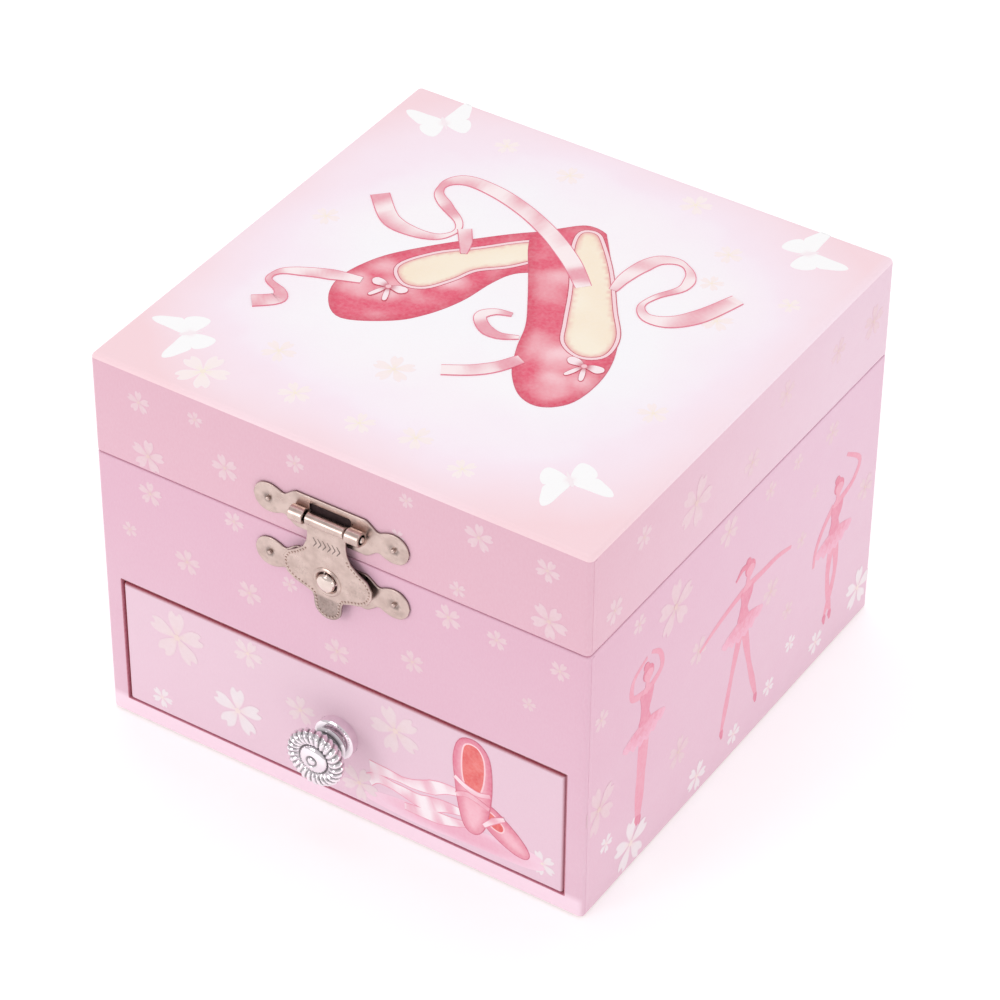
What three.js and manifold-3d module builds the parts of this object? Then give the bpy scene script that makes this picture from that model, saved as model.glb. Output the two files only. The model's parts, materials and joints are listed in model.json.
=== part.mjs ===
// Ballerina music jewellery box: paper-wrapped case with a lid, a drawer, a hasp catch,
// a wind-up movement and a spring-mounted dancer that folds down under the lid.
// Millimetres, +Z up, front face towards -Y. The origin is the middle of the base.

import * as THREE from 'three';
import { ConvexGeometry } from 'three/addons/geometries/ConvexGeometry.js';
import { mergeVertices } from 'three/addons/utils/BufferGeometryUtils.js';
import Module from 'manifold-3d';

const wasm = await Module();
wasm.setup();

// ---------------------------------------------------------------- driving dimensions

const PAPER = 0.25;            // wrapping and lining paper on each board face
const BOX_HALF = 55;           // finished half width and half depth
const BOX_HEIGHT = 87;
const BOARD = 3.5;
const EDGE_ROUND = 0.875;      // rounding of the bare boards' outer edges
const OUTER = BOX_HALF - PAPER;
const INNER = OUTER - BOARD;
const CASE_RIM = 63.875;       // top of the case boards
const LID_RIM = 64.625;        // underside of the lid walls
const LID_TOP = BOX_HEIGHT - PAPER;
const LID_CEILING = LID_TOP - BOARD;
const SEAM = 64.25;            // middle of the gap between lid and case

const SHELF = { z: [34.75, 37.25], backY: 21 };
const BAY_WALL = { y: [21, 23.5] };
const STAGE = { z: [54.5, 57] };
const SPINDLE_Y = 32;          // the dancer and the upright arbors stand in this plane
const STOP_WIRE_X = -46;

const MIRROR = { half: 43, z: [81, 83] };

const DRAWER = {
  frontHalf: 50.25, frontZ: [4.25, 33.5],
  trayHalf: 49.5, trayZ: [4.5, 30], trayBackY: 17.5, trayWall: 2.5, floorTop: 6.5,
};
const KNOB = { z: 19.25, boreRadius: 1.75, shankRadius: 1.25 };

const CATCH = {
  x: -0.5, upperZ: 70.75, lowerZ: 58, plate: 0.5, bodyHalf: 8.5, bodyHigh: 4.125,
  earReach: 14, earRadius: 3.3, barrelZ: 71.25, barrelY: -56.75, pinRadius: 0.5,
};
const CATCH_BACK = -BOX_HALF;
const CATCH_FRONT = CATCH_BACK - CATCH.plate;

const HINGE = {
  x: [-30, 30], halfWidth: 9, leaf: 0.5, y: 56.5, barrel: 1.3, bore: 0.8, pin: 0.55,
  knuckle: 5.75, leafReach: 7.5, nailReach: 5.5, nailZ: 4.5, clearance: 1.5,
};

const NAIL = { headRadius: 0.9, headHigh: 0.5, shankRadius: 0.4, holeRadius: 0.75, depth: 3 };

const MODULE = 0.6;            // of the spur teeth
const WHEEL_TEETH = 24;
const PINION_TEETH = 8;
const CENTRES = MODULE * (WHEEL_TEETH + PINION_TEETH) / 2 + 0.1;
const GOVERNOR_X = -CENTRES;
const FLY_X = -2 * CENTRES;
const ARBOR = { radius: 0.75, hole: 1.1 };
const DRUM = {
  radius: 6.5, z: [29.5, 45.5], arbor: 1, hole: 1.4, arborZ: [22.5, 60],
  pinionPitch: 3.5, pinionZ: [25.5, 28.5], wheelZ: [46.5, 48.5],
};
const KEY = { z: 16.5, arbor: 1.25, hole: 2.4, wallHole: 3.5, arborY: [35, 66] };
const CROWN = { teeth: 24, inner: 9.25, outer: 11.75, discY: [36.5, 38], tipY: 34.95 };
const BEDPLATE = { x: [-30.5, 22.5], z: [5, 53], y: [48.75, 50.75] };
const BARREL = { radius: 9.5, y: [38.5, 48.5] };
const COMB = { tipX: 7.5, heelX: 22, y: [31.5, 32.5], teeth: 18, blockX: 16.5, screwX: 19.25 };
const BRACKET = { x: [-25, -13], lowZ: [22, 23.5], highZ: [51.75, 53.25], armY: [29.25, 33.75] };
const MOVEMENT_SCREWS = [[-19, 38], [18, 10]];

const FOLD = { y: SPINDLE_Y, z: 64, bend: 3.7 };
const DANCER = { toeFromFold: 9.7, headRadius: 2.5, headHeight: 33.6, tutuHeight: 20.6, tutuRadius: 13 };

// ---------------------------------------------------------------- finishes

const FINISH = {
  wrappedBoard: { color: 0xebbfd0, roughness: 0.55, metalness: 0 },
  lidBoard: { color: 0xf7e3ec, roughness: 0.55, metalness: 0 },
  drawerBoard: { color: 0xf0cfde, roughness: 0.55, metalness: 0 },
  trayCard: { color: 0xe7a9bd, roughness: 0.8, metalness: 0 },
  nickel: { color: 0xcdb6b1, roughness: 0.28, metalness: 1 },
  chrome: { color: 0xe6e4e8, roughness: 0.08, metalness: 1 },
  mirrorGlass: { color: 0xdfe7ea, roughness: 0.02, metalness: 1 },
  brass: { color: 0xc9a24d, roughness: 0.3, metalness: 1 },
  steel: { color: 0xa9abb0, roughness: 0.32, metalness: 1 },
  whitePlastic: { color: 0xf7f1ee, roughness: 0.35, metalness: 0 },
  figurePlastic: { color: 0xf2cdb9, roughness: 0.42, metalness: 0 },
  tulle: { color: 0xf7c6d6, roughness: 0.9, metalness: 0 },
};

// ---------------------------------------------------------------- shape helpers

/** Bare positions with shared vertices, ready to become a solid. */
function merged(geometry) {
  const bare = new THREE.BufferGeometry();
  bare.setAttribute('position', geometry.getAttribute('position'));
  if (geometry.index) bare.setIndex(geometry.index);
  const welded = mergeVertices(bare, 1e-4);
  const corners = welded.index.array;
  const kept = [];
  for (let i = 0; i < corners.length; i += 3) {
    const [a, b, c] = [corners[i], corners[i + 1], corners[i + 2]];
    if (a !== b && b !== c && c !== a) kept.push(a, b, c);
  }
  welded.setIndex(kept);
  return welded;
}

function toSolid(geometry) {
  const welded = merged(geometry);
  return new wasm.Manifold(new wasm.Mesh({
    numProp: 3,
    vertProperties: new Float32Array(welded.getAttribute('position').array),
    triVerts: new Uint32Array(welded.index.array),
  }));
}

function fromSolid(solid) {
  const mesh = solid.getMesh();
  const geometry = new THREE.BufferGeometry();
  geometry.setAttribute('position', new THREE.BufferAttribute(mesh.vertProperties, 3));
  geometry.setIndex(new THREE.BufferAttribute(mesh.triVerts, 1));
  return geometry;
}

function join(...geometries) {
  const [first, ...rest] = geometries.map(toSolid);
  return fromSolid(rest.reduce((whole, next) => whole.add(next), first));
}

function cut(geometry, ...tools) {
  return fromSolid(tools.map(toSolid).reduce((left, tool) => left.subtract(tool), toSolid(geometry)));
}

function block([x0, x1], [y0, y1], [z0, z1]) {
  const geometry = new THREE.BoxGeometry(x1 - x0, y1 - y0, z1 - z0);
  return geometry.translate((x0 + x1) / 2, (y0 + y1) / 2, (z0 + z1) / 2);
}

/** Turns a shape made along +Z so that it runs along +X or +Y. */
function along(axis, geometry) {
  if (axis === 'x') return geometry.rotateY(Math.PI / 2);
  if (axis === 'y') return geometry.rotateX(-Math.PI / 2);
  return geometry;
}

/** A round bar along an axis, between two stations on it, through a point given by the others. */
function rod(axis, radius, [start, end], centre, sides = 12) {
  const bar = new THREE.CylinderGeometry(radius, radius, end - start, sides).rotateX(Math.PI / 2);
  const middle = new THREE.Vector3(...centre);
  middle[axis] = (start + end) / 2;
  return along(axis, bar).translate(middle.x, middle.y, middle.z);
}

/** A round bar with a bore, along an axis. */
function sleeve(axis, outer, bore, [start, end], centre, sides = 16) {
  return cut(rod(axis, outer, [start, end], centre, sides),
    rod(axis, bore, [start - 1, end + 1], centre, sides));
}

/** A flat plate: an outline of the X-Z plane, from yFront back by its thickness. */
function frontPlate(shape, yFront, thickness) {
  const geometry = new THREE.ExtrudeGeometry(shape, { depth: thickness, bevelEnabled: false, curveSegments: 5 });
  return geometry.rotateX(Math.PI / 2).translate(0, yFront + thickness, 0);
}

/** A level plate: an outline of the X-Y plane, between two heights. */
function levelPlate(shape, [low, high], curveSegments = 5) {
  const geometry = new THREE.ExtrudeGeometry(shape, { depth: high - low, bevelEnabled: false, curveSegments });
  return geometry.translate(0, 0, low);
}

/** A turned body: [radius, height] pairs about +Z, starting and ending on the axis. */
function turned(profile, sides) {
  const points = profile.map(([radius, height]) => new THREE.Vector2(radius, height));
  return new THREE.LatheGeometry(points, sides).rotateX(Math.PI / 2);
}

function polygon(points) {
  return new THREE.Shape(points.map(([x, y]) => new THREE.Vector2(x, y)));
}

/** Straight-sided gear teeth about the origin; phase turns the first tooth's middle. */
function gearShape(teeth, pitchRadius, module, phase) {
  const addendum = 0.8 * module;
  const dedendum = 1.05 * module;
  const quarter = Math.PI / 2 / teeth;
  const corners = [
    [pitchRadius - dedendum, -1.25], [pitchRadius + addendum, -0.42],
    [pitchRadius + addendum, 0.42], [pitchRadius - dedendum, 1.25],
  ];
  const outline = [];
  for (let tooth = 0; tooth < teeth; tooth += 1) {
    for (const [radius, spread] of corners) {
      const angle = phase + tooth * 4 * quarter + spread * quarter;
      outline.push([radius * Math.cos(angle), radius * Math.sin(angle)]);
    }
  }
  return polygon(outline);
}

function spurGear(teeth, module, [low, high], [x, y], phase) {
  return levelPlate(gearShape(teeth, module * teeth / 2, module, phase), [low, high]).translate(x, y, 0);
}

/** One named sub-part with a material of its own. */
function piece(name, finish, geometry, position = [0, 0, 0]) {
  const mesh = new THREE.Mesh(geometry, new THREE.MeshStandardMaterial(FINISH[finish]));
  mesh.name = name;
  mesh.position.set(...position);
  return mesh;
}

function group(...pieces) {
  const holder = new THREE.Group();
  holder.add(...pieces);
  return holder;
}

// ---------------------------------------------------------------- fixings

/** Small round-headed nail driven along Y; out is -1 on the front and +1 on the back. */
function nail(name, x, z, seatY, out) {
  const headEnd = seatY + out * NAIL.headHigh;
  const shankEnd = seatY - out * NAIL.depth;
  const span = (a, b) => [Math.min(a, b), Math.max(a, b)];
  const head = rod('y', NAIL.headRadius, span(seatY, headEnd), [x, 0, z], 12);
  const shank = rod('y', NAIL.shankRadius, span(headEnd, shankEnd), [x, 0, z], 8);
  return piece(name, 'nickel', join(head, shank));
}

function nailHole(x, z, ySpan) {
  return rod('y', NAIL.holeRadius, ySpan, [x, 0, z], 8);
}

/** Pan-headed screw with a plain shank along an axis. */
function screw(name, finish, axis, centre, head, shank) {
  return piece(name, finish, join(
    rod(axis, head.radius, head.span, centre, 16),
    rod(axis, shank.radius, shank.span, centre, 8),
  ));
}

// ---------------------------------------------------------------- casework

/** Side board with its two outer upright edges rounded; side is -1 on the left, +1 on the right. */
function sideBoard(side, [low, high]) {
  const r = EDGE_ROUND;
  const shape = new THREE.Shape();
  shape.moveTo(INNER, -OUTER);
  shape.lineTo(OUTER - r, -OUTER);
  shape.absarc(OUTER - r, -OUTER + r, r, -Math.PI / 2, 0, false);
  shape.lineTo(OUTER, OUTER - r);
  shape.absarc(OUTER - r, OUTER - r, r, 0, Math.PI / 2, false);
  shape.lineTo(INNER, OUTER);
  const board = levelPlate(shape, [low, high], 3);
  return side > 0 ? board : board.rotateZ(Math.PI).clone();
}

function catchNailXs() {
  return [CATCH.x - CATCH.earReach, CATCH.x + CATCH.earReach];
}

function hingeNailXs(hingeX) {
  return [hingeX - HINGE.nailReach, hingeX + HINGE.nailReach];
}

function hingeNailHoles(z) {
  const ySpan = [BOX_HALF - NAIL.depth, BOX_HALF + 1];
  return HINGE.x.flatMap(hingeNailXs).map((x) => nailHole(x, z, ySpan));
}

function catchNailHoles(z) {
  const ySpan = [-BOX_HALF - 1, -BOX_HALF + NAIL.depth];
  return catchNailXs().map((x) => nailHole(x, z, ySpan));
}

function caseBoards() {
  const back = [INNER, OUTER];
  const front = [-OUTER, -INNER];
  const across = [-INNER, INNER];
  const throughBack = [INNER - 1, OUTER + 1];
  const throughStage = [STAGE.z[0] - 1, STAGE.z[1] + 1];
  return [
    piece('base_board', 'wrappedBoard', block(across, [-OUTER, INNER], [0, BOARD])),
    piece('left_wall', 'wrappedBoard', sideBoard(-1, [0, CASE_RIM])),
    piece('right_wall', 'wrappedBoard', sideBoard(1, [0, CASE_RIM])),
    piece('back_wall', 'wrappedBoard', cut(
      block(across, back, [0, CASE_RIM]),
      rod('y', KEY.wallHole, throughBack, [0, 0, KEY.z], 20),
      ...MOVEMENT_SCREWS.map(([x, z]) => rod('y', 1.75, throughBack, [x, 0, z], 8)),
      ...hingeNailHoles(SEAM - HINGE.nailZ),
    )),
    piece('front_wall', 'wrappedBoard', cut(
      block(across, front, [SHELF.z[0], CASE_RIM]),
      ...catchNailHoles(CATCH.lowerZ),
    )),
    piece('shelf_board', 'wrappedBoard', block(across, [-INNER, SHELF.backY], SHELF.z)),
    piece('movement_bay_wall', 'wrappedBoard', block(across, BAY_WALL.y, [BOARD, STAGE.z[0]])),
    piece('stage_board', 'wrappedBoard', cut(
      block(across, [BAY_WALL.y[0], INNER], STAGE.z),
      rod('z', 2.5, throughStage, [0, SPINDLE_Y, 0], 16),
      rod('z', 1.5, throughStage, [STOP_WIRE_X, SPINDLE_Y, 0], 12),
    )),
  ];
}

/** Lid top with its four upright corners and its top edges rounded. */
function lidTopBoard() {
  const levels = [[LID_CEILING, 0], [LID_TOP - EDGE_ROUND, 0]];
  for (const angle of [Math.PI / 6, Math.PI / 3, Math.PI / 2]) {
    levels.push([LID_TOP - EDGE_ROUND * (1 - Math.sin(angle)), EDGE_ROUND * (1 - Math.cos(angle))]);
  }
  const points = [];
  for (const [z, inset] of levels) {
    for (let corner = 0; corner < 4; corner += 1) {
      for (let step = 0; step <= 3; step += 1) {
        const angle = (corner + step / 3) * Math.PI / 2;
        const radius = EDGE_ROUND - inset;
        const middle = (corner + 0.5) * Math.PI / 2;
        const centreX = Math.sign(Math.cos(middle)) * (OUTER - EDGE_ROUND);
        const centreY = Math.sign(Math.sin(middle)) * (OUTER - EDGE_ROUND);
        points.push(new THREE.Vector3(
          centreX + radius * Math.cos(angle), centreY + radius * Math.sin(angle), z));
      }
    }
  }
  return new ConvexGeometry(points);
}

function lidBoards() {
  const walls = [LID_RIM, LID_CEILING];
  const across = [-INNER, INNER];
  return [
    piece('lid_top_board', 'lidBoard', lidTopBoard()),
    piece('lid_left_wall', 'wrappedBoard', sideBoard(-1, walls)),
    piece('lid_right_wall', 'wrappedBoard', sideBoard(1, walls)),
    piece('lid_front_wall', 'wrappedBoard', cut(
      block(across, [-OUTER, -INNER], walls), ...catchNailHoles(CATCH.upperZ))),
    piece('lid_back_wall', 'wrappedBoard', cut(
      block(across, [INNER, OUTER], walls), ...hingeNailHoles(SEAM + HINGE.nailZ))),
    piece('lid_mirror', 'mirrorGlass', block(
      [-MIRROR.half, MIRROR.half], [-MIRROR.half, MIRROR.half], MIRROR.z)),
  ];
}

// ---------------------------------------------------------------- lid hinges

/** One hinge leaf: a flat plate with its share of the barrel; up is +1 on the lid, -1 on the case. */
function hingeLeaf(hingeX, up) {
  const plateY = [BOX_HALF, BOX_HALF + HINGE.leaf];
  const span = (near, far) => [SEAM + up * near, SEAM + up * far].sort((a, b) => a - b);
  const middle = [hingeX - HINGE.knuckle / 2, hingeX + HINGE.knuckle / 2];
  const outerEdge = [hingeX - HINGE.halfWidth, hingeX + HINGE.halfWidth];
  const gap = 0.25;
  const knuckles = up > 0
    ? [middle]
    : [[outerEdge[0], middle[0] - gap], [middle[1] + gap, outerEdge[1]]];
  const parts = [block(outerEdge, plateY, span(HINGE.clearance, HINGE.leafReach))];
  for (const knuckle of knuckles) {
    parts.push(block(knuckle, plateY, span(0, HINGE.clearance + gap)));
    parts.push(rod('x', HINGE.barrel, knuckle, [0, HINGE.y, SEAM], 16));
  }
  const holes = hingeNailXs(hingeX).map((x) => (
    nailHole(x, SEAM + up * HINGE.nailZ, [BOX_HALF - 1, BOX_HALF + 1])));
  const bore = rod('x', HINGE.bore, [outerEdge[0] - 1, outerEdge[1] + 1], [0, HINGE.y, SEAM], 16);
  return cut(join(...parts), bore, ...holes);
}

function hingeNails(sideName, hingeX, bodyName, up) {
  const places = ['outer', 'inner'];
  return hingeNailXs(hingeX).map((x, index) => {
    const place = hingeX < 0 ? places[index] : places[1 - index];
    return nail(`hinge_${sideName}_${bodyName}_nail_${place}`, x, SEAM + up * HINGE.nailZ,
      BOX_HALF + HINGE.leaf, 1);
  });
}

function caseHingeParts() {
  return HINGE.x.flatMap((hingeX) => {
    const sideName = hingeX < 0 ? 'left' : 'right';
    const reach = HINGE.halfWidth + 0.25;
    return [
      piece(`hinge_${sideName}_case_leaf`, 'nickel', hingeLeaf(hingeX, -1)),
      piece(`hinge_${sideName}_pin`, 'steel',
        rod('x', HINGE.pin, [hingeX - reach, hingeX + reach], [0, HINGE.y, SEAM], 12)),
      ...hingeNails(sideName, hingeX, 'case', -1),
    ];
  });
}

function lidHingeParts() {
  return HINGE.x.flatMap((hingeX) => {
    const sideName = hingeX < 0 ? 'left' : 'right';
    return [
      piece(`hinge_${sideName}_lid_leaf`, 'nickel', hingeLeaf(hingeX, 1)),
      ...hingeNails(sideName, hingeX, 'lid', 1),
    ];
  });
}

// ---------------------------------------------------------------- front catch

/** Plate with a straight middle and a round ear at each end, about a middle height. */
function catchPlateShape(middleZ) {
  const { x, bodyHalf, bodyHigh, earReach, earRadius } = CATCH;
  const open = 2.1;                        // angle from the ear's tip to its neck
  const neckX = earReach + earRadius * Math.cos(open);
  const neckZ = earRadius * Math.sin(open);
  const waistX = (bodyHalf + neckX) / 2 + 0.4;
  const waistZ = neckZ - 0.3;
  const shape = new THREE.Shape();
  shape.moveTo(x - bodyHalf, middleZ + bodyHigh);
  shape.quadraticCurveTo(x - waistX, middleZ + waistZ, x - neckX, middleZ + neckZ);
  shape.absarc(x - earReach, middleZ, earRadius, Math.PI - open, Math.PI + open, false);
  shape.quadraticCurveTo(x - waistX, middleZ - waistZ, x - bodyHalf, middleZ - bodyHigh);
  shape.lineTo(x + bodyHalf, middleZ - bodyHigh);
  shape.quadraticCurveTo(x + waistX, middleZ - waistZ, x + neckX, middleZ - neckZ);
  shape.absarc(x + earReach, middleZ, earRadius, -open, open, false);
  shape.quadraticCurveTo(x + waistX, middleZ + waistZ, x + bodyHalf, middleZ + bodyHigh);
  return shape;
}

function plateNailHoles(z) {
  return catchNailXs().map((x) => nailHole(x, z, [CATCH_FRONT - 1, CATCH_BACK + 1]));
}

/** Upper plate: a window behind the barrel, and a rolled loop on each side that holds the pin. */
function catchUpperPlate() {
  const { x, barrelY, barrelZ, upperZ, bodyHigh } = CATCH;
  const plate = frontPlate(catchPlateShape(upperZ), CATCH_FRONT, CATCH.plate);
  const window = block([x - 4.5, x + 4.5], [CATCH_FRONT - 1, CATCH_BACK + 1],
    [upperZ - bodyHigh + 1.5, upperZ + bodyHigh - 1.25]);
  const loopSpans = [[x - 7.75, x - 4.75], [x + 4.75, x + 7.75]];
  const loops = loopSpans.map((span) => rod('x', 1.35, span, [0, barrelY, barrelZ], 16));
  const bore = rod('x', 0.75, [x - 9, x + 9], [0, barrelY, barrelZ], 12);
  return cut(join(plate, ...loops), window, bore, ...plateNailHoles(upperZ));
}

/** Lower plate with its headed stud. */
function catchLowerPlate() {
  const { x, lowerZ } = CATCH;
  const plate = cut(frontPlate(catchPlateShape(lowerZ), CATCH_FRONT, CATCH.plate), ...plateNailHoles(lowerZ));
  const stud = turned([[0, 0], [1.1, 0], [1.1, 1.9], [1.6, 2.0], [1.5, 2.6], [0.9, 3.1], [0, 3.25]], 16)
    .rotateX(Math.PI / 2)
    .translate(x, CATCH_FRONT + 0.25, lowerZ);
  return join(plate, stud);
}

/** Outline of the swinging hasp below its barrel: neck, flared lobes and thumb tab. */
function haspShape() {
  const { x } = CATCH;
  const top = 70.375;
  const tabHalf = 3.1;
  const tabCentreZ = 52.2;
  const half = (side) => {
    const edge = new THREE.Path();
    edge.moveTo(x + side * 4.25, top);
    edge.lineTo(x + side * 4.3, 67.5);
    edge.quadraticCurveTo(x + side * 4.9, 64.2, x + side * 8.6, 62);
    edge.quadraticCurveTo(x + side * 10.6, 60.8, x + side * 9.9, 58.4);
    edge.quadraticCurveTo(x + side * 8.9, 55.6, x + side * tabHalf, 54.4);
    return edge.getPoints(6);
  };
  const left = half(-1);
  const right = half(1).reverse();
  const tab = [];
  for (let step = 0; step <= 8; step += 1) {
    const angle = Math.PI + step * Math.PI / 8;
    tab.push(new THREE.Vector2(x + tabHalf * Math.cos(angle), tabCentreZ + tabHalf * Math.sin(angle)));
  }
  return new THREE.Shape([...left, ...tab, ...right]);
}

function catchHasp() {
  const { x, barrelY, barrelZ, lowerZ, plate } = CATCH;
  const flat = frontPlate(haspShape(), barrelY - plate / 2, plate);
  const barrel = rod('x', 1.2, [x - 4.25, x + 4.25], [0, barrelY, barrelZ], 16);
  const bore = rod('x', 0.75, [x - 6, x + 6], [0, barrelY, barrelZ], 12);
  const studHole = rod('y', 2.2, [barrelY - 1, barrelY + 1], [x, 0, lowerZ], 20);
  return cut(join(flat, barrel), bore, studHole);
}

function catchNails(placeName, z) {
  const sides = ['left', 'right'];
  return catchNailXs().map((x, index) => (
    nail(`catch_${placeName}_nail_${sides[index]}`, x, z, CATCH_FRONT, -1)));
}

function catchPin() {
  const { x, barrelY, barrelZ, pinRadius } = CATCH;
  return piece('catch_pin', 'steel', rod('x', pinRadius, [x - 8.25, x + 8.25], [0, barrelY, barrelZ], 12));
}

// ---------------------------------------------------------------- drawer

/** Folded card strip: both sides and the back of the drawer. */
function drawerTray() {
  const { trayHalf, trayZ, trayBackY, trayWall } = DRAWER;
  const inside = trayHalf - trayWall;
  return levelPlate(polygon([
    [-trayHalf, -INNER], [-inside, -INNER], [-inside, trayBackY - trayWall],
    [inside, trayBackY - trayWall], [inside, -INNER], [trayHalf, -INNER],
    [trayHalf, trayBackY], [-trayHalf, trayBackY],
  ]), trayZ);
}

/** Turned drawer knob: collar, neck and flared head, with a blind bore for its screw. */
function drawerKnob() {
  const profile = [
    [0, 0], [4.5, 0], [4.5, 2.2], [3.3, 2.6], [3.3, 3.1], [3.9, 3.6], [3.4, 4.3],
    [4.4, 5.6], [5.9, 7], [6.3, 7.8], [6, 8.5], [4.2, 9], [1.6, 9], [0, 9.5],
  ];
  const body = turned(profile, 28);
  return cut(body, rod('z', 1.55, [-1, 5.5], [0, 0, 0], 12)).rotateX(Math.PI / 2);
}

function drawerParts() {
  const { frontHalf, frontZ, trayHalf, trayWall, trayBackY, floorTop, trayZ } = DRAWER;
  const inside = trayHalf - trayWall;
  const screwHead = { radius: 2.75, span: [-INNER, -INNER + 1.5] };
  const screwShank = { radius: KNOB.shankRadius, span: [-BOX_HALF - 5, -INNER] };
  return [
    piece('drawer_front', 'drawerBoard', cut(
      block([-frontHalf, frontHalf], [-OUTER, -INNER], frontZ),
      rod('y', KNOB.boreRadius, [-OUTER - 1, -INNER + 1], [0, 0, KNOB.z], 12))),
    piece('drawer_tray', 'trayCard', drawerTray()),
    piece('drawer_bottom', 'trayCard', block(
      [-inside, inside], [-INNER, trayBackY - trayWall], [trayZ[0], floorTop])),
    piece('drawer_knob', 'chrome', drawerKnob(), [0, -BOX_HALF, KNOB.z]),
    screw('drawer_knob_screw', 'steel', 'y', [0, 0, KNOB.z], screwHead, screwShank),
  ];
}

// ---------------------------------------------------------------- musical movement

/** Cast bedplate on the back wall, with the raised block that carries the comb. */
function movementBedplate() {
  const { x, y, z } = BEDPLATE;
  const plate = block(x, y, z);
  const combBlock = block([COMB.blockX, x[1]], [COMB.y[1] + 0.25, y[0] + 1], DRUM.z);
  const screwBores = MOVEMENT_SCREWS.map(([sx, sz]) => rod('y', 1.55, [y[0] - 1, y[1] + 1], [sx, 0, sz], 8));
  const combBores = combScrewHeights().map((sz) => (
    rod('y', 1.2, [COMB.y[0], COMB.y[1] + 7], [COMB.screwX, 0, sz], 8)));
  return cut(join(plate, combBlock),
    rod('y', KEY.hole, [y[0] - 1, y[1] + 1], [0, 0, KEY.z], 12), ...screwBores, ...combBores);
}

function combScrewHeights() {
  const quarter = (DRUM.z[1] - DRUM.z[0]) / 4;
  return [DRUM.z[0] + quarter, DRUM.z[1] - quarter];
}

/** Steel comb: tuned teeth from the heel to the drum, longer towards the bass end. */
function toneComb() {
  const { tipX, heelX, teeth } = COMB;
  const [low, high] = DRUM.z;
  const pitch = (high - low) / teeth;
  const slot = 0.3 * pitch;
  const outline = [[heelX, low], [heelX, high]];
  for (let tooth = teeth - 1; tooth >= 0; tooth -= 1) {
    const bottom = low + tooth * pitch + slot / 2;
    const top = bottom + pitch - slot;
    const root = 12 + 3 * (1 - tooth / (teeth - 1));
    outline.push([root, top], [tipX, top], [tipX, bottom], [root, bottom]);
  }
  const plate = frontPlate(polygon(outline), COMB.y[0], COMB.y[1] - COMB.y[0]);
  return cut(plate, ...combScrewHeights().map((z) => (
    rod('y', 1.2, [COMB.y[0] - 1, COMB.y[1] + 1], [COMB.screwX, 0, z], 8))));
}

/** Bent strip that carries both ends of the upright arbors. */
function governorBracket() {
  const { x, lowZ, highZ, armY } = BRACKET;
  const backY = [46.75, BEDPLATE.y[0] - 0.25];
  const parts = [
    block(x, backY, [lowZ[0], highZ[1]]),
    block(x, [armY[0], backY[1]], lowZ),
    block([x[0], 2.5], armY, lowZ),
    block([x[0], 2.5], [armY[0], backY[1]], highZ),
  ];
  const bearings = [[0, DRUM.hole], [GOVERNOR_X, ARBOR.hole], [FLY_X, ARBOR.hole]];
  const through = [lowZ[0] - 1, highZ[1] + 1];
  const holes = bearings.map(([bx, radius]) => rod('z', radius, through, [bx, SPINDLE_Y, 0], 12));
  const [screwX, screwZ] = MOVEMENT_SCREWS[0];
  return cut(join(...parts), ...holes, rod('y', 1.55, [backY[0] - 1, backY[1] + 1], [screwX, 0, screwZ], 8));
}

function movementScrews() {
  const names = ['movement_screw_left', 'movement_screw_right'];
  return MOVEMENT_SCREWS.map(([x, z], index) => screw(names[index], 'steel', 'y', [x, 0, z],
    { radius: 3, span: [BOX_HALF, BOX_HALF + 1.5] }, { radius: 1.25, span: [47.5, BOX_HALF] }));
}

function fixedMovementParts() {
  const combScrewNames = ['comb_screw_lower', 'comb_screw_upper'];
  return [
    piece('movement_bedplate', 'steel', movementBedplate()),
    piece('spring_barrel', 'brass', sleeve('y', BARREL.radius, KEY.hole, BARREL.y, [0, 0, KEY.z], 28)),
    piece('tone_comb', 'steel', toneComb()),
    ...combScrewHeights().map((z, index) => screw(combScrewNames[index], 'steel', 'y', [COMB.screwX, 0, z],
      { radius: 2, span: [COMB.y[0] - 1.25, COMB.y[0]] },
      { radius: 0.9, span: [COMB.y[0], COMB.y[1] + 5] })),
    piece('governor_bracket', 'brass', governorBracket()),
    ...movementScrews(),
  ];
}

/** Pinned drum on its arbor, with the driven pinion below, the driving wheel above, and the spindle. */
function pinCylinder() {
  const at = [0, SPINDLE_Y];
  const toCrown = Math.PI / 2;
  const pinionModule = 2 * DRUM.pinionPitch / PINION_TEETH;
  return join(
    rod('z', DRUM.radius, DRUM.z, [...at, 0], 32),
    rod('z', DRUM.arbor, DRUM.arborZ, [...at, 0], 12),
    rod('z', 2, [DRUM.pinionZ[1] - 1, DRUM.z[0] + 1], [...at, 0], 12),
    spurGear(PINION_TEETH, pinionModule, DRUM.pinionZ, at, toCrown + Math.PI / PINION_TEETH),
    spurGear(WHEEL_TEETH, MODULE, DRUM.wheelZ, at, Math.PI),
  );
}

/** Governor's first arbor: the pinion is driven by the drum and its wheel drives the fly. */
function governorWheel() {
  const at = [GOVERNOR_X, SPINDLE_Y];
  return join(
    rod('z', ARBOR.radius, [BRACKET.lowZ[0] + 0.5, BRACKET.highZ[1] - 0.5], [...at, 0], 10),
    spurGear(PINION_TEETH, MODULE, [46.25, 48.75], at, Math.PI / PINION_TEETH),
    spurGear(WHEEL_TEETH, MODULE, [49.5, 51], at, Math.PI),
  );
}

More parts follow.
